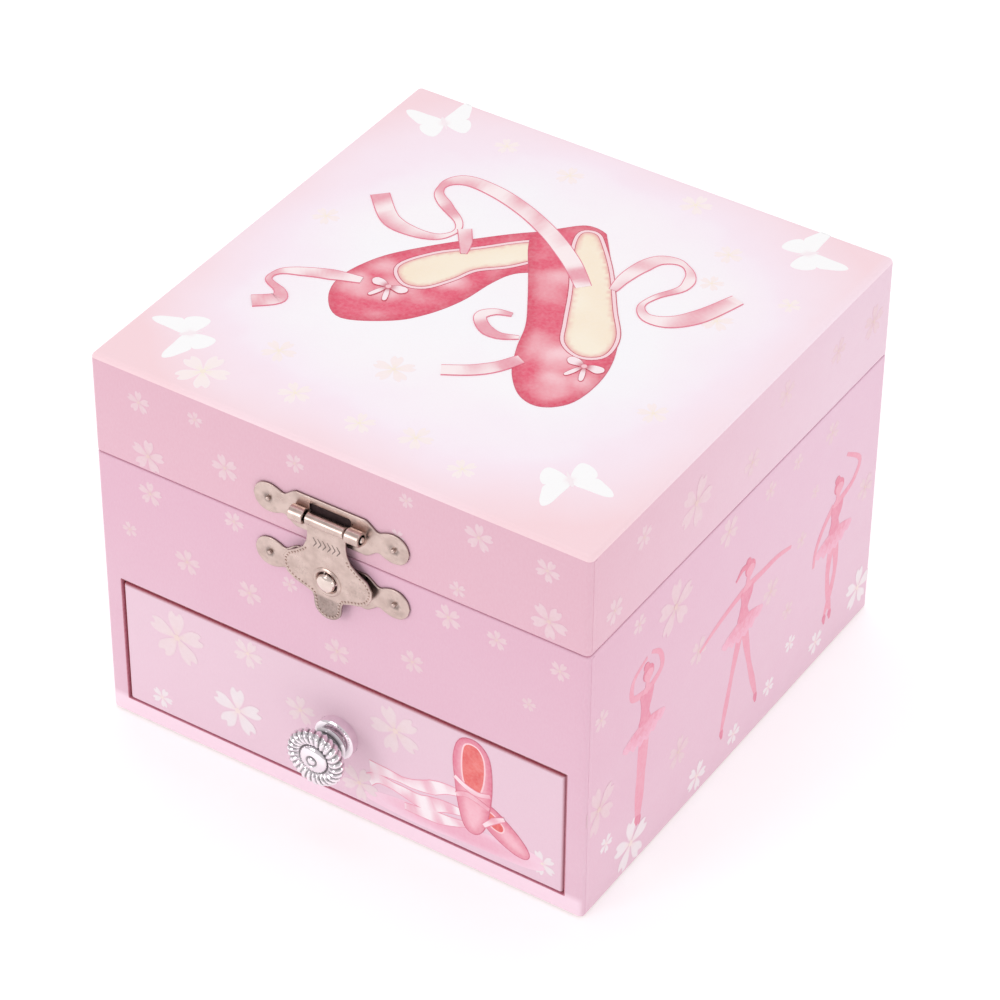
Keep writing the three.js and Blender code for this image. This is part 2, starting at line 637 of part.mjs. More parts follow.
/** Air-brake fly: a pinion and two vanes on the last arbor. */
function governorFly() {
  const at = [FLY_X, SPINDLE_Y];
  const vaneReach = 7.5;
  const vaneZ = [30, 45];
  return join(
    rod('z', ARBOR.radius, [BRACKET.lowZ[0] + 0.5, BRACKET.highZ[1] - 0.5], [...at, 0], 10),
    rod('z', 1.5, [vaneZ[0] - 1, vaneZ[1] + 1], [...at, 0], 12),
    block([FLY_X - vaneReach, FLY_X + vaneReach], [SPINDLE_Y - 0.4, SPINDLE_Y + 0.4], vaneZ),
    spurGear(PINION_TEETH, MODULE, [49.25, 51.25], at, Math.PI / PINION_TEETH),
  );
}

/** One radial tooth of the face wheel, at an angle from the top. */
function crownTooth(angle) {
  const pitch = 2 * Math.PI * (CROWN.inner + CROWN.outer) / 2 / CROWN.teeth;
  const points = [];
  for (const radius of [CROWN.inner, CROWN.outer]) {
    for (const [y, share] of [[CROWN.tipY, 0.1], [CROWN.discY[0] + 0.5, 0.25]]) {
      for (const side of [-1, 1]) {
        points.push(new THREE.Vector3(side * share * pitch, y, radius));
      }
    }
  }
  return new ConvexGeometry(points).rotateY(angle).translate(0, 0, KEY.z);
}

/** Great wheel: face teeth towards the drum's pinion, on the arbor that the key turns. */
function greatWheel() {
  const teeth = [];
  for (let tooth = 0; tooth < CROWN.teeth; tooth += 1) {
    teeth.push(crownTooth(tooth * 2 * Math.PI / CROWN.teeth));
  }
  return join(
    rod('y', 12, CROWN.discY, [0, 0, KEY.z], 36),
    rod('y', KEY.arbor, KEY.arborY, [0, 0, KEY.z], 12),
    ...teeth,
  );
}

/** Butterfly key: a socket on the arbor and a flat handle with two eyes. */
function windingKey() {
  const socket = rod('y', 2.75, [57.5, 65], [0, 0, KEY.z], 20);
  const bore = rod('y', 1.55, [56, 66.5], [0, 0, KEY.z], 12);
  const handle = new THREE.Shape();
  handle.moveTo(-2.5, -2.5);
  handle.lineTo(2.5, -2.5);
  handle.bezierCurveTo(6, -6.5, 11, -5.5, 11, 0);
  handle.bezierCurveTo(11, 5.5, 6, 6.5, 2.5, 2.5);
  handle.lineTo(-2.5, 2.5);
  handle.bezierCurveTo(-6, 6.5, -11, 5.5, -11, 0);
  handle.bezierCurveTo(-11, -5.5, -6, -6.5, -2.5, -2.5);
  const wings = frontPlate(handle, 65, 1.5).translate(0, 0, KEY.z);
  const cap = rod('y', 2.75, [64.5, 67], [0, 0, KEY.z], 20);
  const eyes = [-7, 7].map((x) => rod('y', 2, [64, 68], [x, 0, KEY.z], 14));
  return cut(join(socket, wings, cap), bore, ...eyes);
}

/** Stop wire: its foot stands beside the fly, and its upright passes the stage to meet the lid. */
function stopWire() {
  const wireRadius = 0.6;
  const bend = 4;
  const footZ = 41;
  const tip = new THREE.Vector3(FLY_X - 7.5 - 0.5, SPINDLE_Y, footZ);
  const corner = new THREE.Vector3(STOP_WIRE_X, SPINDLE_Y, footZ);
  const beforeBend = corner.clone().setX(STOP_WIRE_X + bend);
  const afterBend = corner.clone().setZ(footZ + bend);
  const top = corner.clone().setZ(MIRROR.z[1] - 0.5);
  const route = new THREE.CurvePath();
  route.add(new THREE.LineCurve3(tip, beforeBend));
  route.add(new THREE.QuadraticBezierCurve3(beforeBend, corner, afterBend));
  route.add(new THREE.LineCurve3(afterBend, top));
  const section = new THREE.Shape().absarc(0, 0, wireRadius, 0, 2 * Math.PI, false);
  return new THREE.ExtrudeGeometry(section, { steps: 30, extrudePath: route, curveSegments: 4 });
}

// ---------------------------------------------------------------- dancer

/** Short coil spring as a plain elbow, from the spindle's top to the dancer's socket. */
function dancerSpring() {
  const centreY = FOLD.y - FOLD.bend;
  const centreZ = FOLD.z - FOLD.bend;
  const points = [];
  for (let step = 0; step <= 6; step += 1) {
    const angle = step * Math.PI / 12;
    points.push(new THREE.Vector3(0,
      centreY + FOLD.bend * Math.cos(angle), centreZ + FOLD.bend * Math.sin(angle)));
  }
  const section = new THREE.Shape().absarc(0, 0, 1.5, 0, 2 * Math.PI, false);
  return new THREE.ExtrudeGeometry(section,
    { steps: 8, extrudePath: new THREE.CatmullRomCurve3(points), curveSegments: 6 });
}

/** Socket that grips the spring and carries the dancer, in the dancer's upright frame. */
function dancerSocket() {
  const start = FOLD.bend + 0.3;
  return turned([[0, start], [1.9, start], [1.9, 7.4], [3.25, 7.8], [3.25, 9], [0, 9.4]], 20);
}

/** Dancer on her toes with both arms raised in a ring. Heights are above the toes. */
function ballerinaFigure() {
  const { headRadius, headHeight } = DANCER;
  const body = turned([
    [0, 0], [0.7, 0], [0.85, 2], [1.0, 4.5], [1.6, 9], [1.4, 12], [2.2, 16.5], [2.8, 20],
    [1.85, 23.2], [2.3, 26.6], [2.5, 28.2], [1, 29.6], [0.9, 32], [0, 32.5],
  ], 16);
  const head = new THREE.SphereGeometry(headRadius, 16, 10).translate(0, 0, headHeight);
  const bun = new THREE.SphereGeometry(1.2, 10, 8).translate(0, 1.2, headHeight + headRadius);
  const armPoints = [[-1.6, 28], [-4.2, 30], [-5.6, 34], [-4.4, 38.4], [0, 40.6],
    [4.4, 38.4], [5.6, 34], [4.2, 30], [1.6, 28]];
  const armRoute = new THREE.CatmullRomCurve3(armPoints.map(([x, z]) => new THREE.Vector3(x, 0, z)));
  const section = new THREE.Shape().absarc(0, 0, 0.65, 0, 2 * Math.PI, false);
  const arms = new THREE.ExtrudeGeometry(section, { steps: 28, extrudePath: armRoute, curveSegments: 4 });
  return join(body, head, bun, arms);
}

/** Gathered skirt: a shallow ring that stands out from the hips. */
function tutu() {
  const { tutuHeight, tutuRadius } = DANCER;
  const points = [[3.2, 1.6], [8, 1], [tutuRadius, -0.9], [tutuRadius, -1.6], [8, -0.6], [3.2, -0.2], [3.2, 1.6]];
  const ring = points.reverse().map(([radius, height]) => new THREE.Vector2(radius, tutuHeight + height));
  return new THREE.LatheGeometry(ring, 28).rotateX(Math.PI / 2);
}

/** The dancer lies forward under the closed lid: her upright axis points to -Y. */
function dancerGroup() {
  const socket = piece('dancer_socket', 'whitePlastic', dancerSocket());
  const figure = piece('ballerina_figure', 'figurePlastic', ballerinaFigure(), [0, 0, DANCER.toeFromFold]);
  const skirt = piece('ballerina_tutu', 'tulle', tutu(), [0, 0, DANCER.toeFromFold]);
  const holder = group(socket, figure, skirt);
  holder.position.set(0, FOLD.y, FOLD.z);
  holder.rotation.x = Math.PI / 2;
  return holder;
}

// ---------------------------------------------------------------- assembly

const caseGroup = group(
  ...caseBoards(),
  piece('catch_lower_plate', 'nickel', catchLowerPlate()),
  ...catchNails('lower', CATCH.lowerZ),
  ...caseHingeParts(),
  ...fixedMovementParts(),
);

const lidGroup = group(
  ...lidBoards(),
  piece('catch_upper_plate', 'nickel', catchUpperPlate()),
  ...catchNails('upper', CATCH.upperZ),
  catchPin(),
  ...lidHingeParts(),
);

const movementGroup = group(
  piece('pin_cylinder', 'brass', pinCylinder()),
  piece('great_wheel', 'brass', greatWheel()),
  piece('winding_key', 'nickel', windingKey()),
  piece('governor_wheel', 'brass', governorWheel()),
  piece('governor_fly', 'brass', governorFly()),
  piece('stop_wire', 'steel', stopWire()),
);

const jewelleryBox = group(
  caseGroup,
  lidGroup,
  piece('catch_hasp', 'nickel', catchHasp()),
  group(...drawerParts()),
  movementGroup,
  piece('dancer_spring', 'steel', dancerSpring()),
  dancerGroup(),
);

export default jewelleryBox;
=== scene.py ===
"""Visible pieces of the ballerina music jewellery box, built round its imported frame.

Lengths are in millimetres while a piece is being shaped, and in metres once it is an object.
The front of the box faces -Y, its lid opens upwards and its movement stands at the back.
"""

import json
import logging
import math
from dataclasses import dataclass, field
from enum import Enum
from typing import Callable, Sequence

import bmesh
import bpy
from mathutils import Matrix, Vector, noise
from mathutils.geometry import delaunay_2d_cdt


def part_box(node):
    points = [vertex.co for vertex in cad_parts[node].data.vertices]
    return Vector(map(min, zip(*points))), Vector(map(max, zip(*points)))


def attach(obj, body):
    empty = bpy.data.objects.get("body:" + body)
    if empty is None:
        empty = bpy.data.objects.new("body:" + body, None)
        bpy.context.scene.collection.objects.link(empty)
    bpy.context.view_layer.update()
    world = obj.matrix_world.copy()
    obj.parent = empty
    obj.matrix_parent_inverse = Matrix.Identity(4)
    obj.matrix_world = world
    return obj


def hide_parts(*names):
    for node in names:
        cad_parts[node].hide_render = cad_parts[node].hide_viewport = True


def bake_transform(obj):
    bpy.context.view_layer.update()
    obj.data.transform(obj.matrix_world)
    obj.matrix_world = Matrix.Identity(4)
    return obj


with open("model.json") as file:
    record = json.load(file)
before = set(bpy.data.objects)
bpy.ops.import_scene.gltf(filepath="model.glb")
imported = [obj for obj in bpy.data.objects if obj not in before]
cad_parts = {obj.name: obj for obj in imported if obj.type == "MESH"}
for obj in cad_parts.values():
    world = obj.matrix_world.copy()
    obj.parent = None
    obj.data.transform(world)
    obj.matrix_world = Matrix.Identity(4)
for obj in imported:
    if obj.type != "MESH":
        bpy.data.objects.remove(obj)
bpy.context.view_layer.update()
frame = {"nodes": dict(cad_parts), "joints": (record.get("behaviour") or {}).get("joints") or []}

LOG = logging.getLogger("jewellery_box")
MM = 0.001
TURN = 2 * math.pi

Colour = tuple[float, float, float]
Flat = tuple[float, float]
Outline = Sequence[Flat]
Loop = list[Vector]
Paint = Callable[[float, float], Colour]
Relief = Callable[[float, float], float]
Socket = bpy.types.NodeSocket
Piece = bpy.types.Object
BARE = (1.0, 1.0, 1.0)

# --- driving sizes, from the frame


def corner_mm(node: str, high: bool) -> Vector:
    """Lowest or highest corner of a frame node, in millimetres."""
    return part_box(node)[1 if high else 0] / MM


def middle_mm(node: str) -> Vector:
    """Middle of a frame node's box, in millimetres."""
    return (corner_mm(node, False) + corner_mm(node, True)) / 2


PAPER = 0.25
CASE_HALF = corner_mm("right_wall", True).x + PAPER
CASE_RIM = corner_mm("right_wall", True).z + PAPER - 0.025
LID_RIM = corner_mm("lid_right_wall", False).z - PAPER
BOX_TOP = corner_mm("lid_top_board", True).z + PAPER
INSIDE = corner_mm("right_wall", False).x - PAPER
WALL = CASE_HALF - INSIDE
SHELF_TOP = corner_mm("shelf_board", True).z
STAGE_TOP = corner_mm("stage_board", True).z
STAGE_FRONT = corner_mm("movement_bay_wall", False).y
CEILING = corner_mm("lid_top_board", False).z
OPENING_LOW = corner_mm("base_board", True).z + PAPER
OPENING_HIGH = corner_mm("front_wall", False).z - PAPER
DRAWER_LOW = corner_mm("drawer_front", False)
DRAWER_HIGH = corner_mm("drawer_front", True)
EDGE = 1.1
CATCH_X = middle_mm("catch_hasp").x
KNOB_Z = middle_mm("drawer_knob").z
KEY_Z = middle_mm("winding_key").z
SPINDLE_Y = middle_mm("pin_cylinder").y
CASE_PART = ("case", "wrapped_board")
LID_PART = ("lid", "lid_board")
DRAWER_PART = ("drawer", "drawer_board")


def joint_place(name: str) -> Vector:
    """Point on a joint's axis, in millimetres."""
    return Vector(next(j["pos_m"] for j in frame["joints"] if j["name"] == name)) / MM


# --- colour helpers


def linear(red: int, green: int, blue: int) -> Colour:
    """Linear colour of an 8-bit display colour.

    Args:
        red: Display red, 0 to 255.
        green: Display green, 0 to 255.
        blue: Display blue, 0 to 255.

    Returns:
        The same colour in linear light.
    """
    def one(value: int) -> float:
        """Linear share of one channel."""
        share = value / 255
        return share / 12.92 if share <= 0.04045 else ((share + 0.055) / 1.055) ** 2.4
    return one(red), one(green), one(blue)


def mix(first: Colour, second: Colour, share: float) -> Colour:
    """Colour a share of the way from the first to the second."""
    share = min(max(share, 0.0), 1.0)
    return tuple(a + (b - a) * share for a, b in zip(first, second))


def ease(low: float, high: float, value: float) -> float:
    """Smooth step from 0 at low to 1 at high."""
    share = min(max((value - low) / (high - low), 0.0), 1.0)
    return share * share * (3 - 2 * share)


def wash(u: float, v: float, size: float, seed: float = 0.0) -> float:
    """Uneven watercolour wash between 0 and 1 at a place on a panel."""
    return 0.5 + 0.5 * noise.noise(Vector((u / size, v / size, seed)))


# --- finishes


class Nodes:
    """Thin helper round one material's node tree."""

    def __init__(self, name: str) -> None:
        """Makes the material with its shader and Object coordinates.

        Args:
            name: Name of the material.
        """
        self.material = bpy.data.materials.new(name)
        self.material.use_nodes = True
        self.tree = self.material.node_tree
        self.shader = self.tree.nodes["Principled BSDF"]
        self.object_place = self.tree.nodes.new("ShaderNodeTexCoord").outputs["Object"]

    def set(self, **values: object) -> None:
        """Sets shader sockets; an underscore in a key stands for a space in the socket's name."""
        for key, value in values.items():
            self.shader.inputs[key.replace("_", " ")].default_value = value

    def add(self, kind: str, **values: object) -> bpy.types.Node:
        """Adds a node and sets its input sockets or properties by name.

        Args:
            kind: Type of the node.
            values: Values by socket or property, with _ for a space.

        Returns:
            The node.
        """
        node = self.tree.nodes.new(kind)
        for key, value in values.items():
            if hasattr(node, key):
                setattr(node, key, value)
            else:
                node.inputs[key.replace("_", " ")].default_value = value
        return node

    def link(self, source: Socket, target: Socket) -> None:
        """Links an output to an input."""
        self.tree.links.new(source, target)

    def axes(self) -> bpy.types.NodeOutputs:
        """Object coordinates, one output for each axis.

        Returns:
            The outputs X, Y and Z.
        """
        split = self.add("ShaderNodeSeparateXYZ")
        self.link(self.object_place, split.inputs[0])
        return split.outputs

    def ink(self, output: str) -> Socket:
        """The painted attribute, as its colour or as one factor."""
        return self.add("ShaderNodeAttribute", attribute_name="ink").outputs[output]

    def noise(self, scale: float, detail: float = 3.0, stretch: Sequence[float] = (1, 1, 1)
              ) -> Socket:
        """Noise on Object coordinates; scale is in features per metre.

        Args:
            scale: Features per metre.
            detail: Octaves.
            stretch: Scale along each axis.

        Returns:
            Its 0 to 1 output.
        """
        mapping = self.add("ShaderNodeMapping")
        mapping.inputs["Scale"].default_value = stretch
        self.link(self.object_place, mapping.inputs["Vector"])
        node = self.add("ShaderNodeTexNoise", Scale=scale, Detail=detail)
        self.link(mapping.outputs["Vector"], node.inputs["Vector"])
        return node.outputs["Fac"]

    def math(self, operation: str, first: object, second: object = 0.0) -> Socket:
        """One Math node on sockets or numbers.

        Args:
            operation: The operation.
            first: Socket or number.
            second: Socket or number.

        Returns:
            Its output.
        """
        node = self.add("ShaderNodeMath", operation=operation)
        for index, value in enumerate((first, second)):
            if isinstance(value, Socket):
                self.link(value, node.inputs[index])
            else:
                node.inputs[index].default_value = value
        return node.outputs[0]

    def spread(self, value: Socket, low: float, high: float,
               to_low: float = 0.0, to_high: float = 1.0) -> Socket:
        """Maps a value from one range to another, clamped.

        Args:
            value: Socket to map.
            low: Start of its range.
            high: End of its range.
            to_low: Result at low.
            to_high: Result at high.

        Returns:
            The mapped output.
        """
        node = self.add("ShaderNodeMapRange", clamp=True)
        for socket, number in zip(list(node.inputs)[1:5], (low, high, to_low, to_high)):
            socket.default_value = number
        self.link(value, node.inputs[0])
        return node.outputs[0]

    def blend(self, share: object, first: object, second: object) -> Socket:
        """Mixes two colours, each a socket or a linear colour.

        Args:
            share: How much of the second colour.
            first: First colour.
            second: Second colour.

        Returns:
            The mixed colour.
        """
        node = self.add("ShaderNodeMix", data_type="RGBA")
        for index, value in ((0, share), (6, first), (7, second)):
            if isinstance(value, Socket):
                self.link(value, node.inputs[index])
            else:
                node.inputs[index].default_value = value if index == 0 else (*value, 1)
        return node.outputs[2]

    def colour(self, value: Socket) -> None:
        """Feeds the base colour."""
        self.link(value, self.shader.inputs["Base Color"])

    def roughness(self, value: Socket, low: float, high: float) -> None:
        """Feeds the roughness from a 0 to 1 value."""
        self.link(self.spread(value, 0.25, 0.75, low, high), self.shader.inputs["Roughness"])

    def bump(self, height: Socket, distance: float, strength: float = 0.5) -> None:
        """Feeds the normal from a height, with its distance in millimetres.

        Args:
            height: Socket with the height.
            distance: Its depth in millimetres.
            strength: Its strength.
        """
        node = self.add("ShaderNodeBump", Strength=strength, Distance=distance * MM)
        self.link(height, node.inputs["Height"])
        self.link(node.outputs["Normal"], self.shader.inputs["Normal"])


@dataclass(frozen=True)
class PrintedPaper:
    """Satin wrapping paper with a soft printed ground that drifts between two pinks."""

    name: str
    front: Colour
    back: Colour
    low: Colour
    middle: Colour | None = None
    hem: Colour | None = None
    # Colour of the painted shade along the edges that the ink attribute marks.
    rim: Colour | None = None
    roughness: tuple[float, float] = (0.42, 0.56)

    def make(self) -> bpy.types.Material:
        """Builds the material.

        Returns:
            The material.
        """
        n = Nodes(self.name)
        axes = n.axes()
        depth = n.spread(axes["Y"], -CASE_HALF * MM, 0.6 * CASE_HALF * MM)
        side = n.spread(axes["X"], (CASE_HALF - 2) * MM, CASE_HALF * MM, 0.25, 1.0)
        ground = n.blend(n.math("MULTIPLY", depth, side), self.front, self.back)
        lowness = n.spread(axes["Z"], 60 * MM, 5 * MM)
        drift = n.spread(n.noise(38, 2), 0.3, 0.7, 0.35, 1.0)
        ground = n.blend(n.math("MULTIPLY", lowness, drift), ground, self.low)
        if self.middle:
            ground = self.edge_wash(n, axes, ground)
        if self.hem:
            below = n.spread(axes["Z"], 5 * MM, 3.5 * MM)
            front = n.spread(axes["Y"], (0.5 - CASE_HALF) * MM, -CASE_HALF * MM)
            ground = n.blend(n.math("MULTIPLY", below, front), ground, self.hem)
        # Painted shade: where the ink attribute falls to 0, the ground turns to the rim colour.
        if self.rim:
            ground = n.blend(n.ink("Fac"), self.rim, ground)
        fibres = n.noise(2600, 4, (1, 1, 0.45))
        n.colour(n.blend(n.spread(fibres, 0.3, 0.7, 0.0, 0.10), ground, (0.93, 0.80, 0.86)))
        n.roughness(n.noise(300), *self.roughness)
        n.bump(fibres, 0.02, 0.35)
        n.set(Specular_IOR_Level=0.42, Sheen_Weight=0.06)
        return n.material

    def edge_wash(self, n: Nodes, axes: bpy.types.NodeOutputs, ground: Socket) -> Socket:
        """White middle of the lid's top that fades to the ground's pink at its edges.

        Args:
            n: The paper's nodes.
            axes: Object coordinates by axis.
            ground: Colour of the paper's edges.

        Returns:
            The washed colour.
        """
        reach = CASE_HALF * MM
        powers = [
            n.math("POWER", n.math("ABSOLUTE", n.math("DIVIDE", axes[axis], reach)), 3.2)
            for axis in ("X", "Y")]
        front_pull = n.spread(axes["Y"], 0, -reach, 0, 0.22)
        square = n.math("ADD", n.math("ADD", *powers), front_pull)
        ragged = n.math("ADD", square, n.spread(n.noise(55, 3), 0.25, 0.75, -0.14, 0.14))
        warm = n.blend(n.spread(n.noise(26, 1), 0.35, 0.65), self.middle, linear(253, 252, 255))
        lilac = n.blend(n.spread(ragged, 0.12, 0.62), warm, linear(253, 238, 249))
        return n.blend(n.spread(ragged, 0.5, 1.5), lilac, ground)


@dataclass(frozen=True)
class Ink:
    """Printed ink that takes its colour from the painted attribute."""

    name: str = "printed_ink"

    def make(self) -> bpy.types.Material:
        """Builds the material.

        Returns:
            The material.
        """
        n = Nodes(self.name)
        grain = n.spread(n.noise(1500, 4), 0.3, 0.7, 0.0, 0.12)
        n.colour(n.blend(grain, n.ink("Color"), (1.0, 0.93, 0.95)))
        n.roughness(n.noise(400), 0.42, 0.56)
        n.set(Specular_IOR_Level=0.42)
        return n.material


@dataclass(frozen=True)
class Metal:
    """Plated or machined metal with fine rub marks."""

    name: str
    colour: Colour
    tint: Colour
    roughness: tuple[float, float]
    stretch: tuple[float, float, float] = (1, 1, 1)
    bump: float = 0.006
    # True if the ink attribute darkens it with painted shade.
    painted_shade: bool = False

    def make(self) -> bpy.types.Material:
        """Builds the material; one with painted shade is darkened by the painted attribute.

        Returns:
            The material.
        """
        n = Nodes(self.name)
        n.set(Metallic=1.0)
        ground = n.blend(n.spread(n.noise(420, 5), 0.35, 0.7), self.colour, self.tint)
        # Painted shade and painted dark reflections: the ink attribute darkens the metal towards a tenth of
        # its colour.
        if self.painted_shade:
            ground = n.blend(n.ink("Fac"), tuple(0.10 * value for value in self.colour), ground)
        n.colour(ground)
        n.roughness(n.noise(900, 5, self.stretch), *self.roughness)
        n.bump(n.noise(3200, 3, self.stretch), self.bump, 0.4)
        return n.material


@dataclass(frozen=True)
class Moulding:
    """Smooth moulded or painted plastic."""

    name: str
    colour: Colour
    roughness: tuple[float, float] = (0.25, 0.38)
    flush: Colour | None = None

    def make(self) -> bpy.types.Material:
        """Builds the material.

        Returns:
            The material.
        """
        n = Nodes(self.name)
        other = self.flush or mix(self.colour, (1, 1, 1), 0.25)
        n.colour(n.blend(n.spread(n.noise(300, 3), 0.3, 0.7), self.colour, other))
        n.roughness(n.noise(700), *self.roughness)
        n.bump(n.noise(1800, 2), 0.008, 0.3)
        n.set(Coat_Weight=0.15, Subsurface_Weight=0.05, Subsurface_Radius=(0.002, 0.001, 0.001))
        return n.material


@dataclass(frozen=True)
class Cloth:
    """Flocked lining, satin braid or net: a fine weave with sheen."""

    name: str
    colour: Colour
    nap: Colour
    thread: float = 0.25
    sheen: float = 0.5
    roughness: float = 0.85
    alpha: float = 1.0

    def make(self) -> bpy.types.Material:
        """Builds the material.

        Returns:
            The material.
        """
        n = Nodes(self.name)
        count = 1 / (self.thread * MM)
        axes = n.axes()
        waves = [
            n.math("ABSOLUTE", n.math("SINE", n.math("MULTIPLY", axes[axis], math.pi * count)))
            for axis in ("X", "Y", "Z")]
        weave = n.math("MULTIPLY", n.math("MULTIPLY", n.math("ADD", waves[0], waves[2]), 0.5), waves[1])
        nap = n.spread(n.noise(240, 4), 0.3, 0.7)
        n.colour(n.blend(n.math("MULTIPLY", nap, 0.8), self.colour, self.nap))
        n.bump(n.math("ADD", weave, n.noise(count, 2)), 0.05, 0.5)
        n.set(Roughness=self.roughness, Sheen_Weight=self.sheen, Sheen_Roughness=0.4, Alpha=self.alpha)
        return n.material


@dataclass(frozen=True)
class Board:
    """Bare grey-pink board or folded card, and flat sheets of painted shade."""

    name: str
    colour: Colour
    fibre: Colour

    def make(self) -> bpy.types.Material:
        """Builds the material.

        Returns:
            The material.
        """
        n = Nodes(self.name)
        fibres = n.noise(1400, 6, (1, 0.2, 1))
        n.colour(n.blend(n.spread(fibres, 0.35, 0.7), self.colour, self.fibre))
        n.roughness(n.noise(260), 0.7, 0.9)
        n.bump(fibres, 0.03, 0.5)
        return n.material


@dataclass(frozen=True)
class MirrorGlass:
    """Silvered glass with a trace of haze."""

    name: str = "mirror_glass"

    def make(self) -> bpy.types.Material:
        """Builds the material.

        Returns:
            The material.
        """
        n = Nodes(self.name)
        n.set(Metallic=1.0)
        n.colour(n.blend(n.noise(60, 2), (0.80, 0.84, 0.85), (0.90, 0.92, 0.93)))
        n.roughness(n.noise(120, 2), 0.01, 0.04)
        return n.material


class Finish(Enum):
    """Every finish on the object."""

    CASE_PAPER = PrintedPaper(
        "case_paper", linear(229, 181, 201), linear(233, 194, 213), linear(232, 194, 210),
        hem=linear(252, 222, 236))
    LID_PAPER = PrintedPaper(
        "lid_paper", linear(228, 180, 196), linear(234, 202, 217), linear(232, 196, 213))
    LID_TOP_PAPER = PrintedPaper(
        "lid_top_paper", linear(252, 217, 223), linear(252, 226, 236), linear(252, 219, 226),
        middle=linear(255, 250, 253))
    # Its rim colour is painted shade for the gap round the drawer.
    DRAWER_PAPER = PrintedPaper(
        "drawer_paper", linear(234, 201, 215), linear(236, 203, 217), linear(236, 201, 217),
        rim=linear(176, 58, 78))
    INK = Ink()
    NICKEL = Metal("warm_nickel", linear(214, 192, 184), linear(190, 168, 160), (0.24, 0.38))
    # Stamped nickel and bright chrome take painted shade from the ink attribute.
    STAMPED = Metal("stamped_nickel", linear(214, 192, 184), linear(190, 168, 160), (0.24, 0.38), painted_shade=True)
    POLISHED = Metal("polished_nickel", linear(236, 220, 212), linear(222, 204, 196), (0.08, 0.16))
    CHROME = Metal("bright_chrome", linear(250, 242, 246), linear(238, 228, 236), (0.06, 0.14), painted_shade=True)
    STEEL = Metal("plain_steel", linear(186, 188, 194), linear(160, 163, 170), (0.25, 0.42), (1, 6, 1))
    SPRING_STEEL = Metal("spring_wire", linear(205, 207, 212), linear(180, 182, 190), (0.18, 0.30))
    BRASS = Metal("movement_brass", linear(214, 176, 104), linear(190, 148, 78), (0.22, 0.40), (6, 1, 1))
    VELVET = Cloth("flocked_lining", linear(226, 150, 178), linear(240, 178, 200), 0.3, 0.8)
    SATIN_BRAID = Cloth("satin_braid", linear(240, 190, 208), linear(250, 214, 226), 0.5, 0.35, 0.45)
    TULLE = Cloth("tutu_net", linear(247, 190, 210), linear(253, 224, 234), 0.4, 0.6, 0.7, 0.72)
    # Dark red painted shade inside the drawer opening.
    REVEAL = Board("reveal_paper", linear(150, 52, 66), linear(170, 70, 84))
    BOARD = Board("bare_board", linear(206, 176, 170), linear(224, 200, 194))
    SHADE = Board("catch_shade", linear(52, 34, 36), linear(70, 48, 50))
    CARD = Board("tray_card", linear(238, 180, 200), linear(246, 200, 216))
    HAIR = Moulding("figure_hair", linear(112, 66, 44), (0.35, 0.5), linear(142, 88, 58))
    SHOE = Moulding("figure_shoe", linear(240, 150, 180), (0.3, 0.42))
    WHITE = Moulding("white_moulding", linear(250, 247, 244))
    MIRROR = MirrorGlass()

    def material(self) -> bpy.types.Material:
        """The finish's material, made on first use."""
        return bpy.data.materials.get(self.value.name) or self.value.make()


# --- forms


def linked(name: str, data: bpy.types.ID) -> Piece:
    """New object of some data, linked to the scene.

    Args:
        name: Name of the object.
        data: Its data.

    Returns:
        The object.
    """
    obj = bpy.data.objects.new(name, data)
    bpy.context.scene.collection.objects.link(obj)
    return obj


@dataclass
class Form:
    """A closed mesh under construction, in millimetres."""

    points: list[Vector] = field(default_factory=list)
    faces: list[tuple[int, ...]] = field(default_factory=list)
    inks: list[Colour] = field(default_factory=list)
    parts: list[int] = field(default_factory=list)

    def add(self, other: "Form", part: int = 0) -> "Form":
        """Adds another form, whose faces take the piece's finish of that number.

        Args:
            other: Form to add.
            part: Number of its finish, or 0 to keep its own.

        Returns:
            This form.
        """
        start = len(self.points)
        self.parts += [0] * (len(self.faces) - len(self.parts))
        if self.inks or other.inks:
            self.inks += [BARE] * (start - len(self.inks))
            self.inks += other.inks or [BARE] * len(other.points)
        self.points += other.points
        self.faces += [tuple(index + start for index in face) for face in other.faces]
        self.parts += [part or own for own in (other.parts or [0] * len(other.faces))]
        return self

    def placed(self, matrix: Matrix) -> "Form":
        """The same form under a matrix."""
        return Form([matrix @ p for p in self.points], list(self.faces), list(self.inks), list(self.parts))

    def build(self, name: str, *finishes: Finish, crease: float = 32.0) -> Piece:
        """Makes the object, in metres, with outward normals.

        Args:
            name: Name of the piece.
            finishes: The piece's finishes, by part number.
            crease: Angle in degrees past which an edge stays sharp.

        Returns:
            The object, linked to the scene.
        """
        mesh = bpy.data.meshes.new(name)
        mesh.from_pydata([p * MM for p in self.points], [], self.faces)
        if self.inks:
            layer = mesh.color_attributes.new("ink", "FLOAT_COLOR", "POINT")
            layer.data.foreach_set("color", [c for ink in self.inks for c in (*ink, 1.0)])
        if self.parts:
            mesh.polygons.foreach_set("material_index", self.parts)
        obj = linked(name, mesh)
        for finish in finishes:
            mesh.materials.append(finish.material())
        tidy_mesh(mesh, crease)
        return obj


def tidy_mesh(mesh: bpy.types.Mesh, crease: float) -> None:
    """Merges doubles, turns faces outwards and smooths all but the sharp edges.

    Args:
        mesh: Mesh to tidy.
        crease: Angle in degrees past which an edge stays sharp.
    """
    bm = bmesh.new()
    bm.from_mesh(mesh)
    bmesh.ops.remove_doubles(bm, verts=bm.verts, dist=2e-7)
    bmesh.ops.dissolve_degenerate(bm, edges=bm.edges, dist=1e-8)
    bmesh.ops.recalc_face_normals(bm, faces=bm.faces)
    bm.to_mesh(mesh)
    bm.free()
    mesh.polygons.foreach_set("use_smooth", [True] * len(mesh.polygons))
    mesh.set_sharp_from_angle(angle=math.radians(crease))
    mesh.update()


